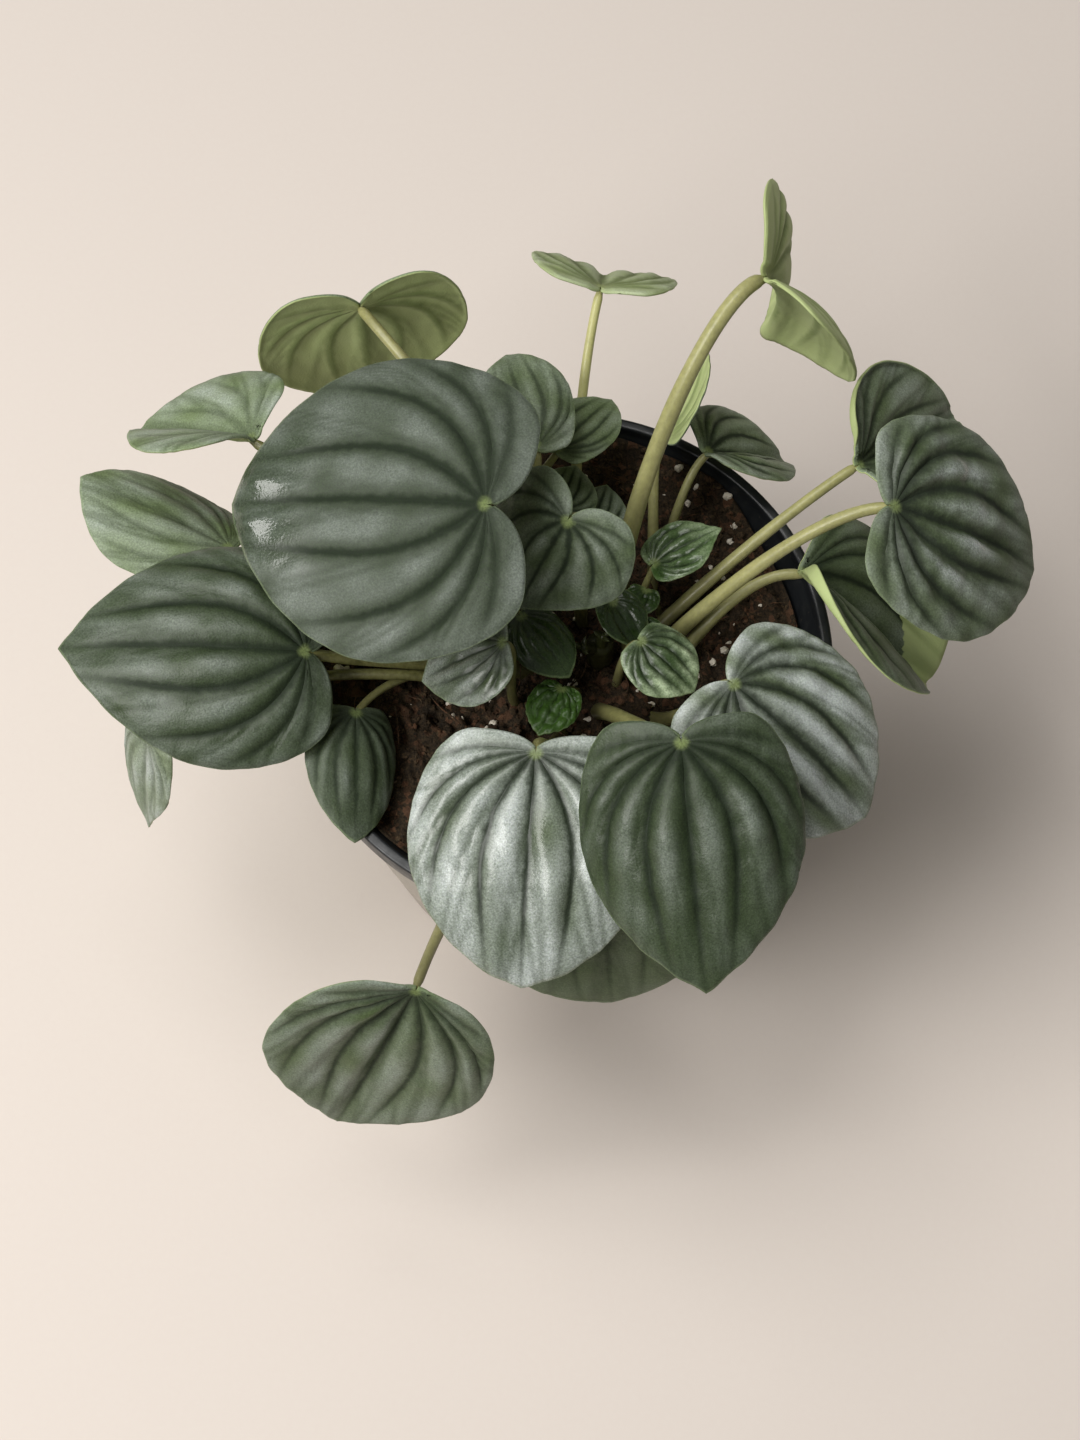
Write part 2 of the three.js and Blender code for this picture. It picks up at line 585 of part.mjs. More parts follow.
function outerPot() {
  const top = RIM_TOP - LIP_HEIGHT - GAP;
  const inner = OUTER_TOP_RADIUS - OUTER_WALL;
  const innerBase = OUTER_BASE_RADIUS - OUTER_WALL;
  const profile = [
    [0, 0],
    [OUTER_BASE_RADIUS - OUTER_FOOT_ROUND, 0],
    [OUTER_BASE_RADIUS - 0.3 * OUTER_FOOT_ROUND, 0.3 * OUTER_FOOT_ROUND],
    [OUTER_BASE_RADIUS, OUTER_FOOT_ROUND],
    [OUTER_TOP_RADIUS, top - 1],
    [OUTER_TOP_RADIUS - 0.4, top],
    [inner + 0.4, top],
    [inner, top - 1],
    [innerBase, OUTER_FLOOR],
    [0, OUTER_FLOOR],
  ];
  return turned(profile, POT_SIDES);
}

function nurseryPot() {
  const shoulder = RIM_TOP - LIP_HEIGHT;
  const floor = OUTER_FLOOR + GAP;
  const profile = [
    [0, floor],
    [NURSERY_BASE_RADIUS, floor],
    [NURSERY_SHOULDER_RADIUS, shoulder],
    [RIM_RADIUS, shoulder],
    [RIM_RADIUS, RIM_TOP - 0.6],
    [RIM_RADIUS - 0.6, RIM_TOP],
    [RIM_RADIUS - LIP_WIDTH, RIM_TOP],
    [RIM_RADIUS - LIP_WIDTH - 0.5, RIM_TOP - 1.6],
    [NURSERY_SHOULDER_RADIUS - NURSERY_WALL, shoulder + NURSERY_WALL],
    [NURSERY_BASE_RADIUS - NURSERY_WALL, floor + NURSERY_FLOOR],
    [0, floor + NURSERY_FLOOR],
  ];
  let pot = solidOf(turned(profile, POT_SIDES));
  for (let hole = 0; hole < DRAIN_HOLES; hole += 1) {
    const turn = (2 * Math.PI * (hole + 0.5)) / DRAIN_HOLES;
    const drill = new THREE.CylinderGeometry(DRAIN_HOLE_RADIUS, DRAIN_HOLE_RADIUS, 6 * NURSERY_FLOOR, 10);
    drill.rotateX(Math.PI / 2);
    drill.translate(DRAIN_HOLE_CIRCLE * Math.cos(turn), DRAIN_HOLE_CIRCLE * Math.sin(turn), floor);
    pot = pot.subtract(solidOf(drill));
  }
  return pot;
}

// Height of the soil's lumpy top, a little lower towards the pot's wall.
function soilHeight(x, y) {
  const share = Math.hypot(x, y) / NURSERY_SHOULDER_RADIUS;
  const lumps = Math.sin(0.31 * x + 1.3) * Math.cos(0.27 * y - 0.4) + 0.6 * Math.sin(0.53 * x - 0.47 * y);
  return SOIL_TOP - SOIL_EDGE_DROP * share * share + SOIL_LUMP * lumps * (1 - share * share);
}

function soilGeometry() {
  const bottom = OUTER_FLOOR + GAP + NURSERY_FLOOR + GAP;
  const slope = (NURSERY_SHOULDER_RADIUS - NURSERY_BASE_RADIUS) / (RIM_TOP - LIP_HEIGHT - OUTER_FLOOR - GAP);
  const wallInside = (z) => NURSERY_BASE_RADIUS + slope * (z - OUTER_FLOOR - GAP) - NURSERY_WALL - GAP - 0.25;
  const edge = wallInside(SOIL_TOP - SOIL_EDGE_DROP - SOIL_LUMP);
  const positions = [0, 0, soilHeight(0, 0)];
  for (let ring = 1; ring <= SOIL_RING_COUNT; ring += 1) {
    for (let side = 0; side < SOIL_SIDES; side += 1) {
      const turn = (2 * Math.PI * side) / SOIL_SIDES;
      const x = ((edge * ring) / SOIL_RING_COUNT) * Math.cos(turn);
      const y = ((edge * ring) / SOIL_RING_COUNT) * Math.sin(turn);
      positions.push(x, y, soilHeight(x, y));
    }
  }
  for (let side = 0; side < SOIL_SIDES; side += 1) {
    const turn = (2 * Math.PI * side) / SOIL_SIDES;
    positions.push(wallInside(bottom) * Math.cos(turn), wallInside(bottom) * Math.sin(turn), bottom);
  }
  positions.push(0, 0, bottom);
  const last = positions.length / 3 - 1;
  const at = (ring, side) => 1 + (ring - 1) * SOIL_SIDES + (side % SOIL_SIDES);
  const indices = [];
  for (let side = 0; side < SOIL_SIDES; side += 1) {
    indices.push(0, at(1, side), at(1, side + 1));
    for (let ring = 1; ring <= SOIL_RING_COUNT; ring += 1) {
      const a = at(ring, side);
      const b = at(ring + 1, side);
      const c = at(ring + 1, side + 1);
      const d = at(ring, side + 1);
      indices.push(a, b, c, a, c, d);
    }
    indices.push(last, at(SOIL_RING_COUNT + 1, side + 1), at(SOIL_RING_COUNT + 1, side));
  }
  return closedGeometry(positions, indices);
}

// The crown: a short upright stem with two side shoots, each ending in a bud.
function crownParts(extra) {
  const foot = new THREE.Vector3(CROWN_X, CROWN_Y, SOIL_TOP - ROOT_DEPTH - extra);
  const neck = new THREE.Vector3(CROWN_X, CROWN_Y, SOIL_TOP + 0.45 * CROWN_HEIGHT);
  const buds = [
    [CROWN_X + 0.5, CROWN_Y - 0.5, SOIL_TOP + CROWN_HEIGHT],
    [CROWN_X - 3.5, CROWN_Y - 2.5, SOIL_TOP + 0.85 * CROWN_HEIGHT],
    [CROWN_X + 3.5, CROWN_Y + 2, SOIL_TOP + 0.8 * CROWN_HEIGHT],
  ];
  const trunk = new THREE.LineCurve3(foot, neck);
  let crown = solidOf(taperedBar(trunk, CROWN_RADIUS + extra, 0.8 * CROWN_RADIUS + extra, 10, 3));
  for (const bud of buds) {
    const start = neck.clone().lerp(foot, 0.35);
    const middle = start.clone().lerp(new THREE.Vector3(...bud), 0.5).add(new THREE.Vector3(0, 0, 0.6));
    const shoot = new THREE.QuadraticBezierCurve3(start, middle, new THREE.Vector3(...bud));
    crown = crown.add(solidOf(taperedBar(shoot, 0.55 * CROWN_RADIUS + extra, 0.22 * CROWN_RADIUS, 8, 4)));
  }
  return crown;
}

const black = new THREE.MeshStandardMaterial({ color: 0x1d2023, roughness: 0.45, metalness: 0 });
const cream = new THREE.MeshStandardMaterial({ color: 0xd9cfc2, roughness: 0.5, metalness: 0 });
const peat = new THREE.MeshStandardMaterial({ color: 0x3b2a24, roughness: 0.95, metalness: 0 });
const stem = new THREE.MeshStandardMaterial({ color: 0x7d8a4e, roughness: 0.5, metalness: 0 });
const leafGreen = new THREE.MeshStandardMaterial({ color: 0x5f7468, roughness: 0.45, metalness: 0 });

const pottedPlant = new THREE.Group();
const pots = new THREE.Group();
const plant = new THREE.Group();
pottedPlant.add(pots, plant);

function addNode(group, name, geometry, material) {
  const mesh = new THREE.Mesh(geometry, material.clone());
  mesh.name = name;
  group.add(mesh);
}

addNode(pots, "outer_pot", geometryOf(solidOf(outerPot())), cream);
addNode(pots, "nursery_pot", geometryOf(nurseryPot()), black);

let soil = solidOf(soilGeometry()).subtract(crownParts(HOLE_CLEARANCE));
for (const leaf of leaves) {
  soil = soil.subtract(solidOf(stalkGeometry(leaf, HOLE_CLEARANCE)));
}
addNode(pots, "soil", geometryOf(soil), peat);
addNode(plant, "crown_stem", geometryOf(crownParts(0)), stem);
for (const leaf of leaves) {
  const whole = solidOf(bladeGeometry(leaf)).add(solidOf(stalkGeometry(leaf, 0)));
  addNode(plant, leaf.name, geometryOf(mainBody(whole)), leafGreen);
}

export default pottedPlant;
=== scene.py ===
"""Potted peperomia: quilted silver-green leaves, black nursery pot in a pale outer pot, peat with white grains."""
import math

import bpy
import numpy as np
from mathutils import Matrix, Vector, noise


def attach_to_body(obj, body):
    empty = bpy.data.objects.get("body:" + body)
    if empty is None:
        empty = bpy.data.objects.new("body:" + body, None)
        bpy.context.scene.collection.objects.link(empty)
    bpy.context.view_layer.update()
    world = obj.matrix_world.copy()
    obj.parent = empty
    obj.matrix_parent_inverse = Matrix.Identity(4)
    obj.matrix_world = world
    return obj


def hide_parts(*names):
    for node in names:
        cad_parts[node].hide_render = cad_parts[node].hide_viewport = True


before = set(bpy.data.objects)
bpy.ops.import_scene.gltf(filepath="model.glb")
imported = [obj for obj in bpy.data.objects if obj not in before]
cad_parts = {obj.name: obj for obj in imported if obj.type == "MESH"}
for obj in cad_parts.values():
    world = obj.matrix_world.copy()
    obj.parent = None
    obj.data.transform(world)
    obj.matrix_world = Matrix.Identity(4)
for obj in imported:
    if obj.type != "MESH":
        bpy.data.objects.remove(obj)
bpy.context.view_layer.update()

MM = 0.001

# Pots, soil, crown and leaves, in mm, nearly all as in the solids.
RIM = 90
RIM_RADIUS = 54
LIP_HEIGHT = 6
LIP_WIDTH = 2.2
NURSERY_WALL = 1.3
NURSERY_SHOULDER_RADIUS = 49.6
NURSERY_BASE_RADIUS = 37.5
NURSERY_FLOOR = 1.6
DRAIN_HOLE_RADIUS = 4
DRAIN_HOLE_CIRCLE = 24
DRAIN_HOLES = 4
OUTER_TOP_RADIUS = 52.6
OUTER_BASE_RADIUS = 42
OUTER_WALL = 2.4
OUTER_FLOOR = 3.5
OUTER_FOOT_ROUND = 2
GAP = 0.3
SOIL_TOP = 87.2
SOIL_EDGE_DROP = 0.9
SOIL_LUMP = 1.1
FOOT_RECESS = 0.5
CROWN_X = 7.7
CROWN_Y = 1.6
CROWN_HEIGHT = 9
CROWN_RADIUS = 3.2
ROOT_DEPTH = 7
BLADE_THICKNESS = 0.9
EDGE_THICKNESS = 0.5

# How finely the pots and the soil are built, and how many fibres lie on the soil, within how many mm.
POT_SIDES = 180
DRILL_SIDES = 28
DRILL_LENGTH = 9
SOIL_SIDES = 300
SOIL_RINGS = 84
FIBRES = 190
FIBRE_FIELD = 46
FIBRE_STEPS = 9

# The soil's own lumps: the size and height of its clods and of its crumbs, and the height that they are centred on.
# Then its edge: how far below the rim it is at its lowest, and how high it is heaped above that. It isn't heaped
# where it dips at the right: the angle in radians, and how far to each side the dip is flat and where it ends.
CLOD_SIZE, CLOD_HEIGHT = 4.5, 2.2
CRUMB_SIZE, CRUMB_HEIGHT = 1.6, 0.7
LUMP_MEAN = 1.6
SOIL_EDGE_LOW, SOIL_HEAP = 4.6, 2.9
DIP_TURN, DIP_FLAT, DIP_END = 0.3, 0.22, 0.62

# One leaf in each row. Where it is, in mm: where the stalk meets the blade and where the tip is, both with their
# height above the pot's rim, and where the stalk leaves the soil. Its outline: its width, how far the lobes reach
# back, how pointed it is and at which share of its length it is widest. Its roll, fold, curl and droop in degrees.
# Its stalk: the radius at its foot and at its neck, how far it rises first and how far it reaches under the blade.
# Its looks: how much silver bloom lies between the veins, how bright its green is, how high it is quilted, how
# crinkled it is, how pale its stalk is, how strong the soft zone beside the veins is, how dark the veins are and
# how wide. Then what only some leaves have, which USUAL explains.
LEAF_ROWS = [
    ("01_upper_left_large", (-14, 10, 46), (-62, 17, 32), (0.9, 4.5), (60, 8.5, 0.2, 0.36),
     (-10, 3, 24, 30), (1.7, 1.1, 22, 14), (0.16, 0.02, 0.32, 0.8, 0.4, 0.85, 1, 1.3),
     dict(lean=(-17, 3, -8), meet=(-13, 3, -12))),
    ("02_left_large", (-49, -6, 15), (-97, -4, 12), (-4.5, -1.3), (48, 6, 0.5, 0.3),
     (-6, 4, 38, 34), (1.6, 1.1, 2, 14), (0.16, 0.1, 0.55, 1.0, 0.12, 0.9, 1, 1.3), {}),
    ("03_left_upper", (-66, 20, 6), (-96, 34.5, 9), (-5.5, 6.5), (30, 1.2, 0.35, 0.48),
     (26, 2, 38, 8), (1.5, 1, 14, 12), (0.32, 1.0, 0.25, 0.5, 0.2, 0.25, 0.4, 1), {}),
    ("04_left_folded", (-60, 35, 24), (-86.3, 44.5, 8.5), (-3, 10.8), (37, 1.6, 0.8, 0.31),
     (29, 40, 4, 6), (1.4, 1, 10, 12), (0.3, 1.0, 0.2, 0.5, 0.2, 0.25, 0.35, 1), {}),
    ("05_far_left_hanging", (-40, 65, 23), (-40, 65, -14), (0.4, 17.7), (44, 8, 0.2, 0.38),
     (-4, 8, 6, 10), (1.5, 1, 14, 14), (0.15, 1.0, 0.4, 0.5, 0.5, 0.6, 1, 1), dict(up=(-0.2, 1, 0))),
    ("06_upper_middle", (-5, 33, 24), (-11, 57, 18), (-3.5, 14.3), (20, 2, 0.2, 0.42),
     (-12, 6, 14, 26), (1.2, 0.8, 6, 8), (0.28, 0.75, 0.35, 0.6, 0.4, 0.4, 0.7, 1), dict(lean=(-8, 0, 0))),
    ("07_upper_small", (-0.7, 36.4, 16.6), (10.3, 50.9, 10.6), (-8.8, 24.2), (15.5, 1.5, 0.3, 0.4),
     (-10, 8, 6, 17), (1, 0.75, 8, 6), (0.24, 0.9, 0.45, 0.8, 0.4, 0.6, 0.8, 1), {}),
    ("08_middle", (1, 12.6, 34), (-8.5, 1, 19.5), (4.3, 8.4), (32, 6, 0.75, 0.28),
     (0, 2, 34, 20), (1.4, 1, 10, 8), (0.18, 0.28, 0.5, 0.8, 0.4, 0.6, 1, 1), {}),
    ("09_middle_small", (6.4, 25.6, 4), (9.4, 36.6, 1), (7.6, 12.4), (12, 1.5, 0.55, 0.33),
     (0, 6, 10, 12), (0.9, 0.65, 1, 4), (0.3, 0.4, 0.4, 0.7, 0.4, 0.6, 1, 1), {}),
    ("10_far_edge", (8, 71, 20), (9, 91, -11), (4.6, 19.6), (31, 4, 0.1, 0.35),
     (9, 18, 3, 28), (1.2, 0.9, 2, 6), (0.8, 1.0, 0.4, 0.6, 1.0, 0.6, 1, 1),
     dict(lean=(-3, 6.5, -1), meet=(-3, -8, -7), pale=0.52)),
    ("11_behind_middle", (0, 28, 8), (3, 38.4, 6), (3.3, 12.3), (13, 2, 0.55, 0.33),
     (6, 4, 14, 16), (1.1, 0.8, 4, 3), (0.2, 0.5, 0.5, 0.7, 0.4, 0.6, 1, 1), {}),
    ("12_far_right_high", (37.5, 53, 53), (41.5, 67, 9), (11.6, 11.8), (44, 5.4, 0, 0.49),
     (-3, 44, 3, 32), (2, 1.4, 26, 18), (0.1, 0.9, 0.4, 0.4, 0.6, 0.6, 1, 1),
     dict(lean=(-4, 0, 0), up=(0.91, 0.5, -0.57), pale=1)),
    ("13_right_behind", (58, 32, 18.6), (81, 52.5, 1), (16.5, 5.5), (35, 1, 0.44, 0.37),
     (20, 44, 11, 4), (1.5, 1, 2, 14), (0.3, 0.7, 0.45, 0.6, 0.6, 0.6, 0.8, 1), {}),
    ("14_right_large", (61.5, 15, 35), (93, 14, 9), (17, 1.1), (44, 5, 0.5, 0.37),
     (8, 12, 20, 32), (1.7, 1.1, 4, 16), (0.7, 0.45, 0.85, 1.6, 0.6, 1.0, 1, 1.35), dict(centre=0.6)),
    ("15_dark_at_rim", (29.5, 40, 8.5), (47.5, 46, -8), (19.4, 20.1), (25, 2, 0.7, 0.38),
     (-18, 34, 4, 14), (1.1, 0.8, 2, 6), (0.35, 0.85, 0.5, 0.6, 0.6, 0.6, 1, 1), {}),
    ("16_young_shiny", (18.3, 15.2, 9), (31.6, 22.1, 11), (13.1, 6), (12.5, 1.2, 0.85, 0.4),
     (-12, 10, 8, 18), (0.9, 0.65, 1, 4), (0.42, 0.55, 1.2, 1.7, 0.5, 0.6, 0.6, 1), {}),
    ("17_right_lower", (47, 12, 12), (72, -5, -7), (18.9, -3.8), (43, 1.5, 0.1, 0.47),
     (-35, 42, 4, 16), (1.5, 1, 1, 14), (0.14, 0.4, 0.5, 0.6, 0.65, 0.6, 1, 1), dict(turned=(0.73, 0.68, 21))),
    ("18_right_front", (31.5, -17, 26), (57, -38, 11), (13.5, -8.6), (42, 5, 0.3, 0.37),
     (-4, 2, 22, 40), (1.6, 1.1, 1, 6), (1.0, 0.5, 0.75, 1.4, 0.5, 0.65, 1, 1.2), dict(lean=(11, -8, 0), centre=0.2)),
    ("19_front_large", (21, -32, 36), (26, -72, 12), (7.2, -9.1), (44, 4.5, 0.5, 0.36),
     (11, 3, 38, 22), (1.7, 1.1, 6, 12), (0.16, 0.08, 0.8, 1.5, 0.3, 1.0, 1, 1.2),
     dict(meet=(-3, -5, -11), centre=0.5)),
    ("20_front_silver", (-5, -29, 22), (-7.8, -68.4, 2), (1.8, -9.6), (47, 4, 0.15, 0.38),
     (4, 2, 20, 34), (1.6, 1.1, 1, 8), (0.7, 0.3, 0.7, 1.1, 0.35, 0.45, 1.0, 1), dict(lean=(-4, -14, 0))),
    ("21_front_low", (7, -49, 9), (10, -65.5, -22), (5.7, -15), (43, 4, 0.25, 0.38),
     (4, 4, 4, 26), (1.5, 1, 4, 10), (0.06, 0.35, 0.3, 0.6, 0.4, 0.35, 0.5, 1), {}),
    ("22_front_left_hanging", (-28, -66, -9), (-46.3, -83.3, -53), (-1.1, -16), (46, 0.8, 0.7, 0.47),
     (-38, 15, 5, 6), (1.4, 1, 34, 16), (0.26, 0.45, 0.75, 1.0, 0.55, 0.7, 0.8, 1.0),
     dict(back=0.32, lean=(-8, -22, 0))),
    ("23_left_small", (-40, -14.5, 5), (-39.5, -40, 2), (-12, -1.5), (20, 1.2, 0.25, 0.3),
     (-24, 2, 38, 6), (1, 0.75, 3, 6), (0.14, 0.15, 0.4, 0.8, 0.3, 0.5, 0.8, 1), dict(meet=(8, 8, 0))),
    ("24_left_inner", (-11, -7, 22), (-27, -10, 10), (-6.4, -8.2), (20, 1.2, 0.55, 0.36),
     (4, 8, 18, 18), (1.1, 0.8, 4, 5), (0.45, 0.25, 0.7, 0.8, 0.3, 0.5, 0.8, 1), dict(lean=(-4, -2, 0))),
    ("25_young_spoon", (-8, 3.1, 11), (1.5, -8.8, 9), (2.3, -0.4), (13, 1, 0.3, 0.46),
     (-14, 6, 12, 16), (0.9, 0.65, 1, 4), (0.02, 0.12, 0.35, 0.8, 0.3, 0.15, 0.4, 1), {}),
    ("26_young_bright", (0, -9.6, 5), (-4.5, -19.5, 6), (4.3, -5.7), (10.5, 1, 0.3, 0.38),
     (4, 4, 18, 10), (0.8, 0.6, 1, 3), (0.0, 0.5, 0.8, 3.4, 0.3, 0.3, 0.4, 1), {}),
    ("27_young_curled", (9.9, 6.7, 10), (14.9, -2.2, 8), (13.1, 2.1), (10, 1.4, 0.4, 0.38),
     (-12, 20, 5, 16), (0.8, 0.6, 1, 3), (0.01, 0.08, 0.4, 0.9, 0.4, 0.15, 0.4, 1), {}),
    ("28_striped_shiny", (15, -3.9, 15), (25.4, -12.9, 12), (10.6, -4.8), (15, 1.2, 0.4, 0.44),
     (-6, 6, 22, 20), (1, 0.75, 2, 5), (0.55, 0.2, 1.4, 1.1, 0.5, 0.75, 0.7, 1.2), {}),
    ("29_low_left_folded", (-82, -15, -7), (-85.5, -26, -32), (-9.9, -5.2), (18, 8, 0.9, 0.28),
     (37, 12, 16, 14), (1.2, 0.9, 20, 22), (0.6, 1.0, 0.3, 0.6, 0.15, 0.2, 0.35, 1), {}),
    ("30_edge_on_at_rim", (21, 41, 13), (28.5, 60, 18), (17.9, 14.3), (19, 1.6, 0.55, 0.37),
     (0, 20, 4, 14), (1.3, 0.9, 4, 6), (0.2, 0.45, 0.4, 0.6, 0.6, 0.6, 1, 1), dict(up=(0.85, 0.3, -0.1))),
    ("31_under_large", (-25.7, 2, 2.5), (-42.4, 5.4, -1), (-8.9, 2.6), (14, 1.4, 0.55, 0.33),
     (6, 3, 16, 10), (1, 0.75, 1, 5), (0.15, 0.3, 0.5, 0.7, 0.3, 0.6, 1, 1), {}),
    ("32_tiny_upper", (16.7, 10.8, 6), (13.8, 3.9, 8), (19.4, 9.9), (7, 0.8, 0.55, 0.33),
     (0, 10, 10, 14), (0.7, 0.55, 1, 2), (0.0, 0.2, 0.8, 2.0, 0.4, 0.2, 0.4, 1), {}),
    ("33_tiny_lower", (15.9, 2.7, 7), (19.8, -2.2, 7), (15, -2.8), (6.5, 0.8, 0.55, 0.33),
     (0, 10, 10, 14), (0.7, 0.55, 1, 2), (0.0, 0.2, 0.8, 2.0, 0.4, 0.2, 0.4, 1), {}),
]
COLUMNS = ("width", "lobe", "point", "widest", "roll", "fold", "curl", "droop", "foot", "neck", "rise", "reach",
           "silver", "tone", "quilt", "crimp", "stem", "zone", "dark", "veins")

# How far the stalk's two guide points are moved, which way is up for the blade, and how wide its lobes are at the
# back. Then how much of its pale underside shows, how much bloom its margin lacks, and the crease past which it is
# turned over: ahead and aside weights, and where it lies in mm.
USUAL = dict(lean=(0, 0, 0), meet=(0, 0, 0), up=(0, 0, 1), back=0.52, pale=0, centre=0, turned=None)


def leaf_of(row):
    """One row of the table as a leaf with named values."""
    name, attach, tip, root, *groups, extra = row
    return dict(USUAL, **dict(zip(COLUMNS, sum(groups, ()))), **extra, name=name, number=int(name[:2]), root=root,
                attach=(attach[0], attach[1], RIM + attach[2]), tip=(tip[0], tip[1], RIM + tip[2]))


# Which leaves have another finish than the common quilted green.
YOUNG = (16, 25, 26, 27, 28, 32, 33)
WAXY = (18, 20, 24)
GLOSSY = (1, 14)

# Waxier, shinier leaves: how much, from which to which share of the way out to the margin, and up to which place
# of the half outline. ALL_ROUND reaches the lobes.
ALL_ROUND = 1.9
SHINE = {
    1: (1.0, 0.78, 1.0, 0.27), 2: (0.4, 0.3, 1.0, ALL_ROUND), 14: (1.0, 0.1, 0.5, ALL_ROUND),
    16: (0.9, 0.1, 1.0, ALL_ROUND), 18: (0.6, 0.2, 0.9, ALL_ROUND), 19: (0.45, 0.3, 1.0, ALL_ROUND),
    20: (0.85, 0.2, 1.0, ALL_ROUND), 22: (0.4, 0.2, 0.7, ALL_ROUND), 24: (0.9, 0.1, 1.0, ALL_ROUND),
    25: (0.5, 0.1, 1.0, ALL_ROUND), 27: (0.5, 0.1, 1.0, ALL_ROUND), 28: (0.9, 0.1, 1.0, ALL_ROUND),
}
MATT = (0.0, 0.0, 1.0, ALL_ROUND)

# Single bulges: how far along and how far to the left, as shares of the length and the half width, then the
# radius along, the radius across and the height in mm.
BULGES = {
    1: [(0.9, 0.13, 3.4, 2.6, 1.3), (0.89, -0.14, 3.4, 2.6, 1.3)],
    14: [(0.42, 0.22, 6, 3, 1.0), (0.36, -0.2, 6, 3, 1.0), (0.25, 0.5, 4, 2.6, 0.7)],
    18: [(0.55, -0.3, 9, 3.5, 0.7), (0.5, 0.2, 8, 3, 0.5)],
    20: [(0.6, -0.33, 10, 3.4, 0.7), (0.62, 0.2, 10, 3.2, 0.8), (0.9, -0.22, 3, 3, 0.5), (0.88, 0.28, 3, 3, 0.5)],
}

# Rolled-up margins: the side (1 left, -1 right), the first and last place, the strip's width in mm and the
# angle it turns through.
ROLLS = {13: [(1, 0.6, 2.2, 2.0, 120)], 17: [(-1, 1.45, 2.3, 3.6, 130)]}

# Veins run from the attachment to these places on the half outline: 0 is the tip, 1 the widest place, 2 the
# back of the lobe and 3 the notch. Their strengths fall off towards the notch.
VEIN_PLACES = np.array([0, 0.17, 0.56, 0.96, 1.5, 3])
VEIN_STRENGTHS = np.array([1.0, 1.0, 0.95, 0.8, 0.6, 0.0])

# The quilted relief: how high each band between two veins stands, its height as a share of the way out, how much
# of it is left at the margin, and over how many mm the fold at the midrib is rounded.
BAND_RISE = np.array([0.85, 1.0, 0.85, 0.6, 0.4])
RELIEF_SHARE = 0.035
EDGE_RELIEF = 0.14
FOLD_ROUND = 2.5

# Relief in mm, on a blade at least as long as GROWN: shorter ones have less and finer relief.
GROWN = 34
GROOVE_DEPTH = 0.22
SIDE_GROOVE_DEPTH = 0.15
PUCKER_HEIGHT = 0.13
FINE_PUCKER_HEIGHT = 0.05
MARGIN_DROP = 0.3
QUILT_SHARE = 0.95
CREASE_SLOPE = 0.45

# The margin's waves: their height as a share, and how many there are. The ripples: how many waves are summed, and
# about how high they add up. The side veins: where they leave the main ones, how far that varies, and their width.
MARGIN_WAVE, MARGIN_WAVES = 0.003, 31
RIPPLE_WAVES, RIPPLE_PEAK = 7, 3.2
SIDE_VEIN_STARTS = (0.28, 0.52, 0.75)
SIDE_VEIN_STRAY, SIDE_VEIN_WIDTH = 0.07, 0.7

# Leaves wider than this many mm get the finer net: each pair is for the coarse net and the fine one. The rings are
# given as shares of the way out, and the last row is how many rays the fine net has between two veins.
DENSE_WIDTH = 26
RINGS = (18, 36)
STALK_STEPS = (26, 44)
STALK_SIDES = (12, 16)
FIRST_RING, LAST_RING = 0.035, 0.95
MARGIN_RINGS = (0.968, 0.984, 1.0)
BAND_COLUMNS = (12, 20, 20, 20, 24)

# How rays arch from the attachment to the margin, for each of these places, as in the solids.
RAY_PLACES = (0, 0.22, 0.62, 0.98, 1.5, 2, 3)
RAY_LEAD = ((0, 0.34, 0.42, 0.46, 0.32, 0.12, 0), (0, 0.34, 0.42, 0.54, 0.46, 0.12, 0))
RAY_CLOSE = ((0, 20, 27, 23, 7, 0, 0), (0, 20, 34, 38, 24, 0, 0))
RAY_OUT = (0.4, 0.4, 0.39, 0.4, 0.38, 0.33, 0.33)
RAY_BACK = (0.5, 0.5, 0.52, 0.46, 0.38, 0.33, 0.33)
LONG_LOBE_SHARE = 0.14
LOBE_ROOM = 0.35


def bezier(a, b, c, d, t):
    """Points of a cubic curve with four guide points."""
    t = np.asarray(t, float)[..., None]
    s = 1 - t
    a, b, c, d = (np.asarray(point, float) for point in (a, b, c, d))
    return s**3 * a + 3 * s * s * t * b + 3 * s * t * t * c + t**3 * d


def outline(leaf, length, place):
    """Points of the flat blade's half outline for an array of places from 0 to 3."""
    half = leaf["width"] / 2
    lobe = leaf["lobe"]
    point = leaf["point"]
    widest = leaf["widest"] * length
    back = leaf["back"] * half
    shoulder = (length - (length - widest) * (0.1 + 0.3 * point), half * (0.62 - 0.3 * point))
    front = bezier((length, 0), shoulder, (widest + 0.42 * (length - widest), half), (widest, half),
                   np.clip(place, 0, 1))
    turn = (widest - 0.55 * (widest + lobe), half)
    rear = bezier((widest, half), turn, (-lobe, back + 0.5 * (half - back)), (-lobe, back),
                  np.clip(place - 1, 0, 1))
    notch = bezier((-lobe, back), (-lobe, 0.5 * back), (-0.75 * lobe - 0.1, 0.18 * back + 0.15),
                   (-0.12 * lobe - 0.55, 0.25), np.clip(place - 2, 0, 1))
    place = place[..., None]
    return np.where(place <= 1, front, np.where(place <= 2, rear, notch))


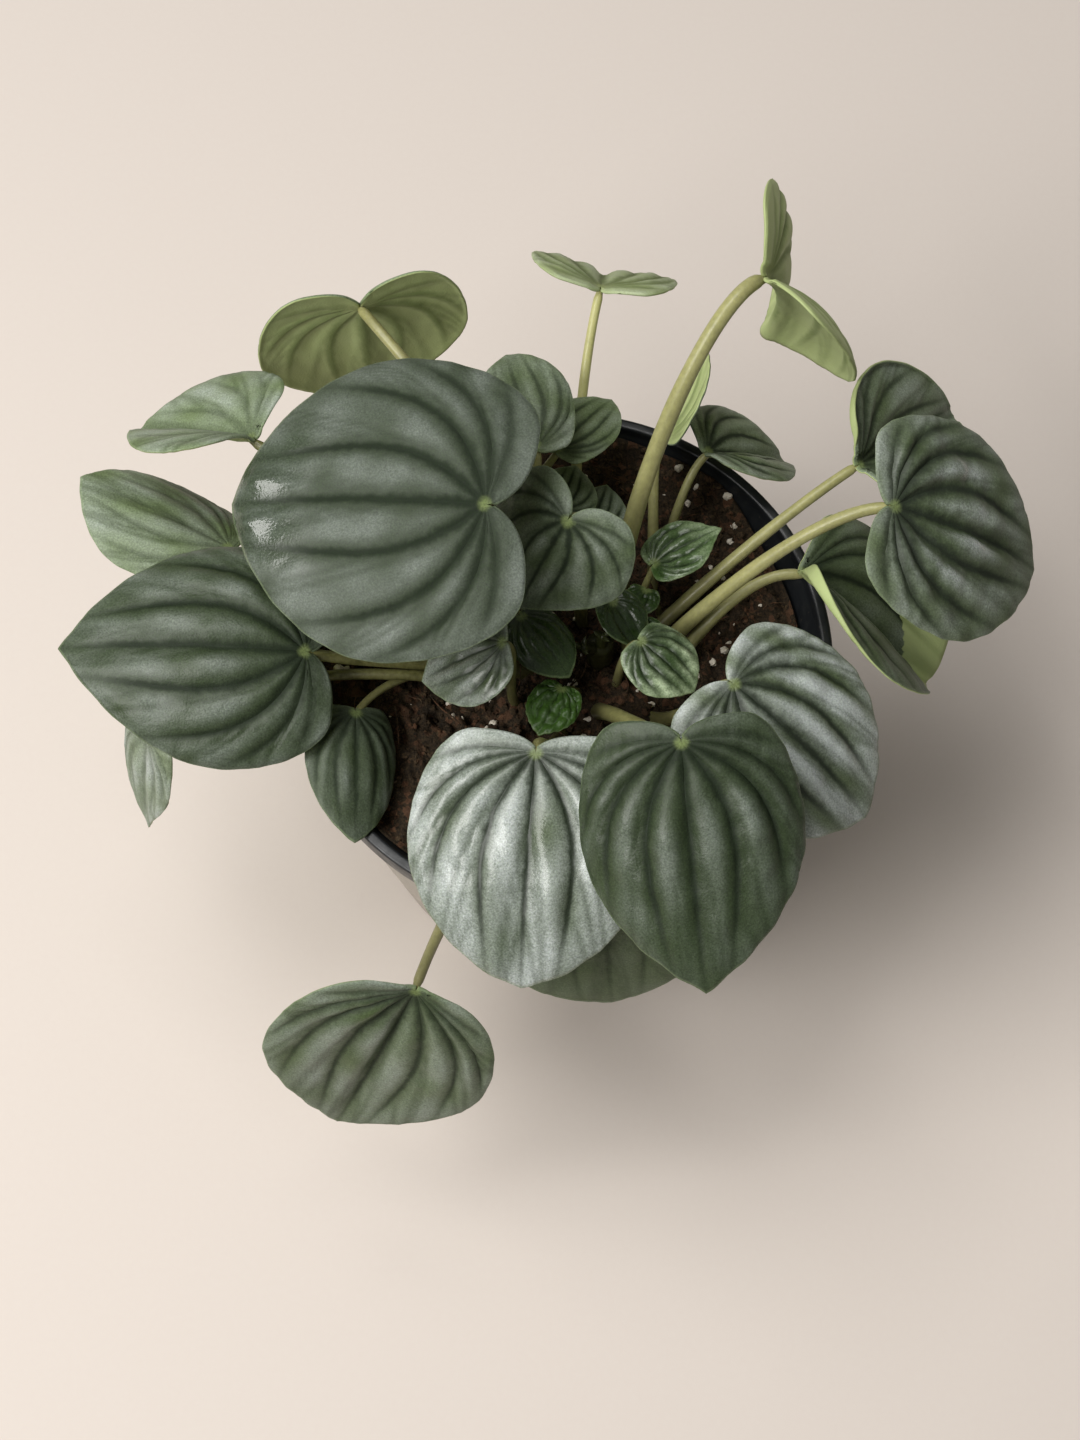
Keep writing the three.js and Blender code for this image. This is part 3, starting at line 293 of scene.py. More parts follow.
def ray_points(leaf, length, margin, at, sign, share):
    """Points along the arching rays from the attachment to the margin."""
    reach = np.hypot(margin[:, 0], margin[:, 1])
    angle = np.arctan2(margin[:, 1], margin[:, 0])
    lobed = min(1, leaf["lobe"] / (LONG_LOBE_SHARE * leaf["width"]))
    lead, close = (np.interp(at, RAY_PLACES, short) * (1 - lobed) + np.interp(at, RAY_PLACES, full) * lobed
                   for short, full in (RAY_LEAD, RAY_CLOSE))
    corners = outline(leaf, length, np.array([2.0, 3.0]))
    back, notch = np.arctan2(corners[:, 1], corners[:, 0])
    start = angle + lead * np.maximum(0, back + LOBE_ROOM * lobed * (notch - back) - angle)
    end = angle - np.radians(close)
    out = np.interp(at, RAY_PLACES, RAY_OUT) * reach
    before = np.interp(at, RAY_PLACES, RAY_BACK) * reach
    first = np.stack([out * np.cos(start), out * np.sin(start)], -1)[:, None, :]
    second = (margin - np.stack([before * np.cos(end), before * np.sin(end)], -1))[:, None, :]
    s = share[..., None]
    points = 3 * s * (1 - s) ** 2 * first + 3 * s * s * (1 - s) * second + s**3 * margin[:, None, :]
    return points[..., 0], points[..., 1] * sign[:, None]


def distance_to(line_x, line_y, x, y):
    """Distance of every point to a line of short straight steps that starts at the attachment."""
    ax, ay = np.append(0, line_x[:-1]), np.append(0, line_y[:-1])
    dx, dy = line_x - ax, line_y - ay
    px, py = x[..., None] - ax, y[..., None] - ay
    t = np.clip((px * dx + py * dy) / np.maximum(dx * dx + dy * dy, 1e-9), 0, 1)
    return np.hypot(px - t * dx, py - t * dy).min(axis=-1)


def bend(leaf, length, x, y, z):
    """Folds the flat blade along its midrib, curls its sides down and arches its length."""
    half = leaf["width"] / 2
    fold = math.radians(leaf["fold"]) * np.minimum(1, np.abs(y) / FOLD_ROUND)
    curl = math.radians(leaf["curl"] + leaf["fold"]) / half
    droop = math.radians(leaf["droop"]) / length
    run = np.abs(y)
    tilt = fold - curl * run
    side = (np.sin(fold) - np.sin(tilt)) / curl
    lift = (np.cos(tilt) - np.cos(fold)) / curl
    across = np.sign(y) * (side - z * np.sin(tilt))
    height = lift + z * np.cos(tilt)
    start = 0.5 * droop * length
    heading = start - droop * x
    along = (np.sin(start) - np.sin(heading)) / droop
    rise = (np.cos(heading) - np.cos(start)) / droop
    return np.stack([along - height * np.sin(heading), across, rise + height * np.cos(heading)], -1)


def blade_frame(leaf):
    """Where a blade starts, its directions along, aside and up, and its length along the arch."""
    attach = np.array(leaf["attach"], float)
    chord = np.array(leaf["tip"], float) - attach
    size = np.linalg.norm(chord)
    along = chord / size
    side = np.cross(leaf["up"], along)
    side /= np.linalg.norm(side)
    roll = math.radians(leaf["roll"])
    side = side * math.cos(roll) + np.cross(along, side) * math.sin(roll)
    normal = np.cross(along, side)
    half_turn = math.radians(leaf["droop"]) / 2
    return attach, along, side, normal, size * half_turn / math.sin(half_turn)


def ripple(x, y, wavelength, seed):
    """Smooth random height between about -1 and 1 over a plane."""
    rng = np.random.default_rng(seed)
    total = np.zeros_like(x)
    for _ in range(RIPPLE_WAVES):
        turn = rng.uniform(0, 2 * math.pi)
        wave = wavelength * rng.uniform(0.7, 1.5)
        phase = rng.uniform(0, 2 * math.pi)
        total += np.sin((x * math.cos(turn) + y * math.sin(turn)) * 2 * math.pi / wave + phase)
    return total / RIPPLE_PEAK


def columns(dense):
    """Places of the rays round the blade, closer together beside the veins."""
    half = []
    for low, high, count in zip(VEIN_PLACES[:-1], VEIN_PLACES[1:], BAND_COLUMNS):
        count = count if dense else count // 2
        steps = np.arange(count) / count
        half.append(low + (0.55 * steps + 0.45 * (0.5 - 0.5 * np.cos(math.pi * steps))) * (high - low))
    half = np.concatenate(half + [[3.0]])
    return np.concatenate([-half[:0:-1], half])


def side_veins(place, share, local, seed):
    """Strength of the faint veins that leave the main ones and run out to the margin."""
    rng = np.random.default_rng(seed)
    depth = np.zeros_like(place)
    for band in range(4):
        low, high = VEIN_PLACES[band], VEIN_PLACES[band + 1]
        for start in SIDE_VEIN_STARTS:
            begin = start + rng.uniform(-SIDE_VEIN_STRAY, SIDE_VEIN_STRAY)
            slope = (high - low) * rng.uniform(0.75, 1.0) * 0.8 / (1.12 - begin)
            line = low + slope * (share - begin)
            away = np.abs(place - line) * local
            inside = (share > begin) & (line < high - 0.02)
            fade = np.clip((share - begin) / 0.1, 0, 1)
            depth = np.maximum(depth, np.where(inside, np.exp(-((away / SIDE_VEIN_WIDTH) ** 2)) * fade, 0))
    return depth


def smooth(low, high, value):
    """A soft step from 0 at low to 1 at high."""
    t = np.clip((value - low) / (high - low), 0, 1)
    return t * t * (3 - 2 * t)


def rolled(leaf, reach, share, places):
    """How far along each ray the points lie, and how high, where a margin is rolled up."""
    run = share * np.ones_like(reach)
    height = np.zeros_like(run)
    flat = np.zeros_like(run)
    for side, first, last, width, angle in ROLLS.get(leaf["number"], []):
        place = np.where(places * side >= 0, np.abs(places), 9)[:, None]
        ramp = smooth(first - 0.45, first + 0.45, place) * smooth(last + 0.3, last - 0.3, place)
        strip = np.maximum(width * ramp, 0.01)
        radius = strip / math.radians(angle)
        inside = np.maximum(strip - (1 - run) * reach, 0)
        rolled_run = 1 - (strip - radius * np.sin(inside / radius)) / reach
        run = np.where(inside > 0, rolled_run, run)
        height = np.where(inside > 0, radius * (1 - np.cos(inside / radius)), height)
        flat = np.maximum(flat, smooth(-1.0, 0.3, inside - 0.01) * (inside > 0))
    return run, height, flat


def nearest_veins(x, y, places):
    """For each point, how far the nearest main vein is and how strong that one is."""
    vein = np.full_like(x, 99.0)
    force = np.zeros_like(x)
    for where, strength in zip(np.concatenate([-VEIN_PLACES[:0:-1], VEIN_PLACES]),
                               np.concatenate([VEIN_STRENGTHS[:0:-1], VEIN_STRENGTHS])):
        if strength:
            column = int(np.argmin(np.abs(places - where)))
            away = distance_to(x[column], y[column], x, y)
            force = np.where(away < vein, strength, force)
            vein = np.where(away < vein, away, vein)
    return vein, force


def stitched(n_columns, n_rings):
    """Faces of a blade, from the points of its upper side, its lower side, its two poles and its rim."""
    count = n_columns * n_rings
    top_pole, under_pole, first_rim = 2 * count, 2 * count + 1, 2 * count + 2
    index = np.arange(count).reshape(n_columns, n_rings)
    quads = np.stack([index[:-1, :-1], index[:-1, 1:], index[1:, 1:], index[1:, :-1]], -1).reshape(-1, 4)
    faces = quads.tolist() + (quads[:, ::-1] + count).tolist()
    for i in range(n_columns - 1):
        p, q, u, v = (int(corner) for corner in (index[i, 0], index[i + 1, 0], index[i, -1], index[i + 1, -1]))
        rim = first_rim + i
        faces += [[top_pole, p, q], [under_pole, q + count, p + count],
                  [u, rim, rim + 1, v], [rim, u + count, v + count, rim + 1]]
    for edge, last, backwards in ((index[0], first_rim, False), (index[-1], first_rim + n_columns - 1, True)):
        line = [top_pole] + edge.tolist()
        low = [under_pole] + (edge + count).tolist()
        strip = [[line[i], low[i], low[i + 1], line[i + 1]] for i in range(n_rings)] + [[line[-1], low[-1], last]]
        faces += [face[::-1] for face in strip] if backwards else strip
    return faces


def blade(leaf, dense):
    """Fine closed blade: points, faces and, for each point, what the leaf finish reads."""
    number, pale, zone, dark = (leaf[key] for key in ("number", "pale", "zone", "dark"))
    attach, along, side, normal, length = blade_frame(leaf)
    grown = min(1.0, length / GROWN)
    places = columns(dense)
    at = np.abs(places)
    share = np.concatenate([np.linspace(FIRST_RING, LAST_RING, RINGS[dense]), MARGIN_RINGS])[None, :]
    wave = 1 + MARGIN_WAVE * leaf["crimp"] * np.sin(MARGIN_WAVES * places + number) * smooth(0, 0.3, 3 - at)
    margin = outline(leaf, length, at) * wave[:, None]
    reach = np.hypot(margin[:, 0], margin[:, 1])[:, None]
    along_ray, curled_up, flat = rolled(leaf, reach, share, places)
    x, y = ray_points(leaf, length, margin, at, np.where(places < 0, -1.0, 1.0), along_ray)
    every = np.ones_like(x)
    out = reach * share
    vein, force = nearest_veins(x, y, places)
    force = force * (1 - 0.75 * smooth(0.72, 1.0, share)) * every

    band = np.clip(np.searchsorted(VEIN_PLACES, at, side="right") - 1, 0, 4)
    across = (at - VEIN_PLACES[band]) / (VEIN_PLACES[band + 1] - VEIN_PLACES[band])
    swell = np.sin(math.pi * np.clip(across, 0, 1))[:, None]
    rise = np.sin(math.pi * share**0.8) * (1 - EDGE_RELIEF) + EDGE_RELIEF * share
    uneven = 1 + 0.4 * ripple(x, y, 15 * grown + 3, number + 20)
    height = QUILT_SHARE * leaf["quilt"] * RELIEF_SHARE * reach * np.maximum(swell, 0) ** 1.15 * rise * uneven
    height = height * BAND_RISE[band][:, None]
    over = np.zeros_like(x)
    if leaf["turned"]:
        ahead, aside, crease = leaf["turned"]
        past = np.maximum(ahead * x + aside * y - crease, 0)
        over = smooth(0.0, 0.5, past)
        height = height + CREASE_SLOPE * past
    for along_share, left_share, long, wide, lift in BULGES.get(number, []):
        bulge = ((x - along_share * length) / long) ** 2 + ((y - left_share * leaf["width"] / 2) / wide) ** 2
        height = height + lift * np.exp(-bulge)
    groove = force * np.exp(-((vein / (1.0 * grown + 0.2)) ** 2))
    height = height - GROOVE_DEPTH * grown * groove * smooth(0.5, 3.0, out)
    steps = np.hypot(np.diff(x, axis=0), np.diff(y, axis=0))
    run = np.vstack([np.zeros((1, x.shape[1])), np.cumsum(steps, axis=0)])
    local = np.gradient(run, axis=0) / np.maximum(np.gradient(places)[:, None], 1e-6)
    branch = side_veins(at[:, None] * every, share * every, local, number)
    branch = branch * smooth(2.0, 6.0, out) * smooth(14, 24, length)
    height = height - SIDE_GROOVE_DEPTH * branch
    pucker = (ripple(x, y, 5.2 * grown + 1.0, number) * PUCKER_HEIGHT
              + ripple(x, y, 2.1 * grown + 0.5, number + 50) * FINE_PUCKER_HEIGHT)
    height = height + leaf["crimp"] * pucker * smooth(1.0, 6.0 * grown, out) * (1 - 0.6 * smooth(0.75, 1.0, share))
    height = (height - MARGIN_DROP * grown * smooth(0.93, 1.0, share)) * (1 - 0.9 * flat) + curled_up

    base = bend(leaf, length, x, y, height)
    facing = np.cross(np.gradient(base, share[0], axis=1), np.gradient(base, axis=0))
    facing /= np.maximum(np.linalg.norm(facing, axis=-1, keepdims=True), 1e-9)
    thinner = 0.75 + 0.25 * grown
    thick = BLADE_THICKNESS + (EDGE_THICKNESS - BLADE_THICKNESS) * smooth(0.35, 1.0, share)
    thick = thick * thinner
    offset = facing * (thick / 2)[..., None]
    centre = bend(leaf, length, np.zeros(1), np.zeros(1), np.zeros(1))[0]
    pole = facing[len(places) // 2, 0] * (BLADE_THICKNESS / 2 * thinner)
    rim_out = base[:, -1] - base[:, -2]
    rim_out /= np.linalg.norm(rim_out, axis=-1, keepdims=True)
    points = np.vstack([(base + offset).reshape(-1, 3), (base - offset).reshape(-1, 3), centre + pole, centre - pole,
                        base[:, -1] + rim_out * 0.3 * thick[0, -1]])

    bloom = 1 - 0.45 * zone * (1 - np.maximum(swell, 0) * smooth(0.0, 0.35, share) * every)
    patches = 1 + 0.6 * ripple(x, y, 9 * grown + 2, number + 80)
    bloom = leaf["silver"] * bloom * patches * (1 - 0.3 * branch)
    bloom = np.maximum(bloom * (1 - leaf["centre"] * smooth(0.45, 0.85, share)), 0)
    glow, nearest, farthest, widest = SHINE.get(number, MATT)
    shine = glow * smooth(nearest - 0.12, nearest + 0.12, share) * smooth(farthest + 0.15, farthest, share)
    shine = shine * smooth(1.37 * widest, 0.63 * widest, at)[:, None]
    vein_width = (0.35 + 0.65 * grown) * leaf["veins"] * (1.3 - 0.7 * share)

    marks = {}
    for key, values, at_pole in (
            ("vein_away", vein / vein_width, 0.0), ("vein_force", force * dark, dark),
            ("vein_zone", force * zone, zone), ("side_vein", branch, 0.0), ("heart_away", out, 0.0),
            ("edge_away", reach * (1 - share), 9.0), ("silver", bloom, 0.3), ("shine", shine, 0.0),
            ("tone", leaf["tone"], leaf["tone"])):
        values = values * every
        marks[key] = np.concatenate([values.ravel(), values.ravel(), [at_pole, at_pole], values[:, -1]])
    marks["under"] = np.concatenate([np.maximum(pale, over).ravel(), np.ones(x.size), [pale, 1],
                                     np.full(len(places), max(0.5, pale))])
    world = attach + points[:, :1] * along + points[:, 1:2] * side + points[:, 2:] * normal
    return world, stitched(*x.shape), marks


def stalk_curve(leaf):
    """The four guide points of a leaf's stalk, from below the soil to inside the blade."""
    attach, along, _, normal, _ = blade_frame(leaf)
    root = np.array([leaf["root"][0], leaf["root"][1], SOIL_TOP - ROOT_DEPTH])
    out = np.array([leaf["root"][0] - CROWN_X, leaf["root"][1] - CROWN_Y, 0]) * 0.02 + (0, 0, 1)
    first = root + out / np.linalg.norm(out) * (ROOT_DEPTH + leaf["rise"]) + leaf["lean"]
    top = attach + along * 0.6 - normal * 0.5 * leaf["neck"]
    near = top - along * 0.75 * leaf["reach"] - normal * 0.55 * leaf["reach"] + leaf["meet"]
    square = np.dot((top - near) / np.linalg.norm(top - near), normal)
    top = top + normal * 0.5 * leaf["neck"] * square
    return root, first, near, top


def skin(rings, poles, inward=False):
    """Closed shell over a stack of rings and the two points that close its ends: points and faces."""
    sides = len(rings[0])
    points = np.vstack(rings + [poles])
    first, last, end = len(points) - 2, len(points) - 1, (len(rings) - 1) * sides
    around = [(j, (j + 1) % sides) for j in range(sides)]
    faces = [[i + j, i + k, i + sides + k, i + sides + j] for i in range(0, end, sides) for j, k in around]
    for j, k in around:
        faces += [[first, k, j], [last, end + j, end + k]]
    return points, [face[:1] + face[:0:-1] for face in faces] if inward else faces


def tube(centres, radii, sides, ridge=0.0, phase=0.0):
    """Closed round bar through the centres, with a rounded end at both ends and faint lengthwise ridges."""
    centres = np.asarray(centres, float)
    ahead = np.gradient(centres, axis=0)
    ahead /= np.linalg.norm(ahead, axis=1, keepdims=True)
    across = np.cross(ahead[0], (0.3, 0.9, 0.1))
    rings = []
    turn = np.arange(sides) * 2 * math.pi / sides
    for centre, axis, radius in zip(centres, ahead, radii):
        across = across - axis * np.dot(across, axis)
        across /= np.linalg.norm(across)
        other = np.cross(axis, across)
        bump = radius * (1 + ridge * np.cos(5 * turn + phase))
        rings.append(centre + bump[:, None] * (np.cos(turn)[:, None] * across + np.sin(turn)[:, None] * other))
    return skin(rings, [centres[0] - ahead[0] * radii[0] * 0.4, centres[-1] + ahead[-1] * radii[-1] * 0.4])


def stalk(leaf, dense):
    """Fleshy stalk with a swollen foot, its last stretch slimming into the midrib."""
    number = leaf["number"]
    centres = bezier(*stalk_curve(leaf), np.linspace(0, 1, STALK_STEPS[dense]))
    run = np.concatenate([[0], np.cumsum(np.linalg.norm(np.diff(centres, axis=0), axis=1))])
    run /= run[-1]
    radii = leaf["foot"] + (leaf["neck"] - leaf["foot"]) * run
    radii = radii * (1 + 0.12 * smooth(0.25, 0.0, run)) * (1 - 0.45 * smooth(0.965, 1.0, run))
    radii = radii * (1 + 0.02 * np.sin(run * 23 + number))
    return tube(centres, radii, STALK_SIDES[dense], 0.025, number)


def solid_mesh(name, parts, marks=None, own_materials=False):
    """One object from several closed shells given in mm; marks are values for each point of all shells."""
    points, faces, slots = [], [], []
    start = 0
    for number, (shell_points, shell_faces) in enumerate(parts):
        points.append(np.asarray(shell_points) * MM)
        faces += [[i + start for i in face] for face in shell_faces]
        slots += [number] * len(shell_faces)
        start += len(shell_points)
    mesh = bpy.data.meshes.new(name)
    mesh.from_pydata(np.vstack(points).tolist(), [], faces)
    for key, values in (marks or {}).items():
        mesh.attributes.new(key, "FLOAT", "POINT").data.foreach_set("value", np.asarray(values, np.float32))
    if own_materials:
        mesh.polygons.foreach_set("material_index", slots)
    mesh.polygons.foreach_set("use_smooth", [True] * len(mesh.polygons))
    mesh.update()
    thing = bpy.data.objects.new(name, mesh)
    bpy.context.scene.collection.objects.link(thing)
    return thing


def baked(thing, modifier):
    """Gives an object the mesh that its modifier makes, and removes the modifier."""
    shaped = bpy.data.meshes.new_from_object(thing.evaluated_get(bpy.context.evaluated_depsgraph_get()))
    thing.modifiers.remove(modifier)
    thing.data = shaped
    return thing


def finished(piece, materials, slot, *nodes):
    """Gives a piece its materials and its place in the frame: on the one body, standing for the nodes named."""
    for material in materials:
        piece.data.materials.append(material)
    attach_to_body(piece, "root")
    if nodes:
        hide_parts(*nodes)


# Finishes

def colour(code):
    """An sRGB hex code as linear colour with alpha."""
    values = [int(code[i:i + 2], 16) / 255 for i in (1, 3, 5)]
    return tuple(v / 12.92 if v <= 0.04045 else ((v + 0.055) / 1.055) ** 2.4 for v in values) + (1,)


def feed(tree, node, inputs):
    """Fills a node's inputs: with links, with plain values, or with colours given as hex codes."""
    for key, value in inputs.items():
        if isinstance(value, bpy.types.NodeSocket):
            tree.links.new(value, node.inputs[key])
        else:
            node.inputs[key].default_value = colour(value) if isinstance(value, str) else value


def add(tree, kind, inputs=None, **settings):
    """Adds a node with its settings and its inputs."""
    made = tree.nodes.new(kind)
    for key, value in settings.items():
        setattr(made, key, value)
    feed(tree, made, inputs or {})
    return made


class Finish:
    """A material in the making, with the kinds of node that the finishes share. Sizes are in mm."""

    def __init__(self, name):
        self.material = bpy.data.materials.new(name)
        self.material.use_nodes = True
        self.tree = self.material.node_tree
        self.shader = next(n for n in self.tree.nodes if n.type == "BSDF_PRINCIPLED")
        self.place = add(self.tree, "ShaderNodeTexCoord").outputs["Object"]

    def maths(self, operation, values, clamp):
        return add(self.tree, "ShaderNodeMath", dict(enumerate(values)), operation=operation,
                   use_clamp=clamp).outputs[0]

    def plus(self, a, b, clamp=False):
        return self.maths("ADD", (a, b), clamp)

    def times(self, a, b, clamp=False):
        return self.maths("MULTIPLY", (a, b), clamp)

    def scaled(self, value, slope, start, clamp=False):
        """The value times the slope, and the start added."""
        return self.maths("MULTIPLY_ADD", (value, slope, start), clamp)

    def span(self, value, low, high, to_low=0.0, to_high=1.0, kind="SMOOTHSTEP"):
        """A soft step from one value to the other while the first goes from low to high."""
        return add(self.tree, "ShaderNodeMapRange", {0: value, 1: low, 2: high, 3: to_low, 4: to_high},
                   interpolation_type=kind).outputs[0]

    def mix(self, factor, a, b, mode="MIX"):
        return add(self.tree, "ShaderNodeMix", {0: factor, 6: a, 7: b}, data_type="RGBA", blend_type=mode).outputs[2]

    def grain(self, size, detail=2.0, rough=0.5, place=None):
        """Noise with features of about the given size."""
        return add(self.tree, "ShaderNodeTexNoise",
                   {"Vector": self.place if place is None else place, "Scale": 1 / (size * MM),
                    "Detail": detail, "Roughness": rough}).outputs["Fac"]

    def cells(self, size, output="Distance"):
        return add(self.tree, "ShaderNodeTexVoronoi", {"Vector": self.place, "Scale": 1 / (size * MM)}).outputs[output]

    def relief(self, height, strength, distance, after=None):
        inputs = {"Height": height, "Strength": strength, "Distance": distance * MM}
        if after is not None:
            inputs["Normal"] = after
        return add(self.tree, "ShaderNodeBump", inputs).outputs[0]

    def mark(self, name):
        """What the mesh says at each point."""
        return add(self.tree, "ShaderNodeAttribute", attribute_name=name, attribute_type="GEOMETRY").outputs["Fac"]

    def done(self, base, roughness, normal=None, **inputs):
        """The material, with its shader fed: words joined by _ name the shader's other inputs."""
        given = {"Base Color": base, "Roughness": roughness}
        given.update((key.replace("_", " "), value) for key, value in inputs.items())
        if normal is not None:
            given["Normal"] = normal
        feed(self.tree, self.shader, given)
        return self.material


# Colours that all leaves share: the line in a vein, the spot at the stalk and the thin margin, then on the underside,
# which is painted brighter as the glow of light through the leaf, its paler patches and its spot.
VEIN_LINE, HEART_SPOT, THIN_MARGIN = "#121e0b", "#7d8c55", "#7f8f68"
UNDER_PATCH, UNDER_SPOT = "#a2ab7c", "#a9b07c"


def leaf_finish(name, greens, roughness, coat, patchy=0.5, coat_roughness=0.25, gleam=0.3, polish=0.38):
    """Peperomia leaf: waxy green skin under a silver bloom, dark sunken veins and a pale green underside,
    painted brighter as the glow of light shining through it.
    """
    deep, bright, silver_bloom, vein_green, pale_under_and_painted_glow, deep_under_and_painted_glow = greens
    f = Finish(name)
    away, force, zone, heart, edge, branch, silver, tone, under, shine = (f.mark(key) for key in (
        "vein_away", "vein_force", "vein_zone", "heart_away", "edge_away", "side_vein", "silver", "tone", "under",
        "shine"))
    cloud, mottle, speck_and_painted_glint = f.grain(9, 3, 0.55), f.grain(1.8, 3, 0.6), f.grain(0.36, 2, 0.65)
    pores = f.cells(0.45)

    # A soft zone and a dark line along each vein, both with ragged borders.
    ragged = f.scaled(mottle, 1.0, -0.5)
    near = f.plus(away, ragged)
    band = f.times(f.span(near, 0.5, 3.1, 1.0, 0.0), zone, clamp=True)
    line = f.times(f.span(near, 0.2, 1.25, 1.0, 0.0), force, clamp=True)

    # The upper side: the bloom over the green, then the veins, the pale heart, the thin margin and the speckle, partly
    # the bloom's fine grain and partly painted glints.
    green = f.mix(tone, deep, bright)
    cover = f.scaled(cloud, 0.7, -0.35)
    cover = f.plus(cover, f.scaled(mottle, patchy, -0.5 * patchy))
    cover = f.plus(cover, f.scaled(speck_and_painted_glint, 0.6, -0.3))
    cover = f.times(f.plus(cover, 1.0), silver, clamp=True)
    cover = f.times(cover, f.scaled(band, -0.92, 1.0), clamp=True)
    top = f.mix(cover, green, silver_bloom)
    top = f.mix(f.times(band, 0.55), top, vein_green)
    top = f.mix(f.times(line, 0.92), top, VEIN_LINE)
    top = f.mix(f.times(branch, 0.34), top, vein_green)
    top = f.mix(f.span(f.plus(heart, ragged), 0.4, 1.6, 0.6, 0.0), top, HEART_SPOT)
    top = f.mix(f.span(edge, 0.1, 0.45, 0.35, 0.0), top, THIN_MARGIN)
    # Painted glints: the speckle lightens and darkens the colour in fine spots in place of sparkling light on the
    # skin.
    top = f.mix(1.0, top, f.span(speck_and_painted_glint, 0.25, 0.75, 0.68, 1.33, "LINEAR"), "MULTIPLY")

    # The underside: pale, painted brighter as the glow of light shining through the leaf, with darker arcs at the
    # veins.
    arcs = f.times(f.span(near, 0.2, 1.7, 1.0, 0.0), force, clamp=True)
    low = f.mix(f.times(arcs, 0.75), pale_under_and_painted_glow, deep_under_and_painted_glow)
    low = f.mix(f.times(branch, 0.35), low, deep_under_and_painted_glow)
    low = f.mix(f.scaled(cloud, 0.9, -0.3, clamp=True), low, UNDER_PATCH)
    low = f.mix(f.span(heart, 0.5, 4.0, 0.6, 0.0), low, UNDER_SPOT)
    full = f.mix(f.span(under, 0.35, 0.65), top, low)

    rough = f.scaled(speck_and_painted_glint, 0.2, roughness - 0.1)
    waxy = f.times(shine, f.scaled(band, -0.6, 1.0))
    rough = f.scaled(waxy, -polish, rough)
    rough = f.scaled(under, 0.1, f.scaled(line, 0.25, rough))
    bumps = f.relief(mottle, 0.45, 0.28, f.relief(pores, 0.35, 0.08))
    return f.done(full, rough, bumps, Specular_IOR_Level=gleam, Coat_Weight=coat, Coat_Roughness=coat_roughness,
                  Subsurface_Weight=0.05, Subsurface_Radius=(0.0012, 0.002, 0.0006))


# Heights in metres between which the darkening at a stalk's foot fades: partly a browner foot, partly painted shade
# near the soil.
SOIL_LINE, CLEAR_OF_SOIL = 0.086, 0.1


def stalk_finish(name, dark, light):
    """Fleshy peperomia stalk: translucent olive to pale yellow-green with fine streaks, darker low down: partly
    browner, partly painted shade.
    """
    f = Finish(name)
    stretched = add(f.tree, "ShaderNodeMapping", {"Vector": f.place, "Scale": (1, 1, 0.25)}).outputs[0]
    streak = f.grain(0.8, 3, 0.6, stretched)
    cloud = f.grain(6)
    pale = f.scaled(streak, 0.5, f.scaled(cloud, 0.3, -0.4))
    pale = f.plus(pale, f.mark("tone"), clamp=True)
    base = f.mix(pale, dark, light)
    height = add(f.tree, "ShaderNodeSeparateXYZ", {0: f.place}).outputs[2]
    # Painted shade near the soil: low down the stalk is mixed towards dark olive brown, partly its own browner foot.
    base = f.mix(f.span(height, SOIL_LINE, CLEAR_OF_SOIL, 0.55, 0.0), base, "#38321a")
    return f.done(base, 0.42, f.relief(streak, 0.2, 0.12), Subsurface_Weight=0.25,
                  Subsurface_Radius=(0.002, 0.0022, 0.0008), Coat_Weight=0.1)


def black_plastic():
    """Thin moulded black polypropylene with a half gloss, rubbed and dusty with peat."""
    f = Finish("moulded_black_plastic")
    dust = f.grain(2.5, 4, 0.65)
    haze = f.grain(18, 3)
    specks = f.span(f.cells(1.9), 0.05, 0.11, 1.0, 0.0)
    worn = f.span(dust, 0.55, 0.8, 0.0, 0.35)
    base = f.mix(haze, "#121416", "#1b1e21")
    base = f.mix(worn, base, "#2b2a29")
    base = f.mix(f.times(specks, 0.25), base, "#6a5f54")
    return f.done(base, f.span(dust, 0.3, 0.75, 0.3, 0.48), f.relief(dust, 0.12, 0.15), Specular_IOR_Level=0.45)


def pale_glaze():
    """Plain off-white stoneware with a satin glaze, hardly mottled."""
    f = Finish("satin_off_white_glaze")
    cloud = f.grain(25, 3)
    fine = f.grain(1.2, 2, 0.6)
    pores = f.span(f.cells(3.2), 0.03, 0.07, 1.0, 0.0)
    base = f.mix(cloud, "#948d83", "#9d968c")
    base = f.mix(f.times(pores, 0.2), base, "#a89a8a")
    return f.done(base, f.span(fine, 0.3, 0.7, 0.38, 0.5), f.relief(f.mix(0.3, fine, cloud), 0.08, 0.2),
                  Coat_Weight=0.15, Coat_Roughness=0.3)


def peat_finish(name, dark, brown, red):
    """Damp fibrous peat: near black with brown and rusty crumbs."""
    f = Finish(name)
    crumb_tone = add(f.tree, "ShaderNodeSeparateColor", {0: f.cells(1.3, "Color")}).outputs[0]
    fine = f.grain(0.5, 4, 0.7)
    patches = f.grain(7, 3, 0.6)
    base = f.mix(f.span(fine, 0.3, 0.75), dark, brown)
    base = f.mix(f.times(f.span(crumb_tone, 0.6, 1.0), 0.6), base, red)
    base = f.mix(f.span(patches, 0.55, 0.75, 0.0, 0.6), base, dark)
    bumps = f.relief(fine, 0.8, 0.5)
    return f.done(base, 0.88, f.relief(f.grain(1.6, 3, 0.6), 0.8, 0.9, bumps), Specular_IOR_Level=0.25)


def perlite_finish():
    """Expanded white volcanic glass: chalky, pitted and a little stained by the peat."""
    f = Finish("chalky_perlite")
    stain = f.grain(1.1, 3, 0.6)
    pits = f.cells(0.5)
    base = f.mix(f.span(stain, 0.5, 0.8), "#ddd5c6", "#a2917c")
    return f.done(base, 0.9, f.relief(pits, 0.6, 0.3))


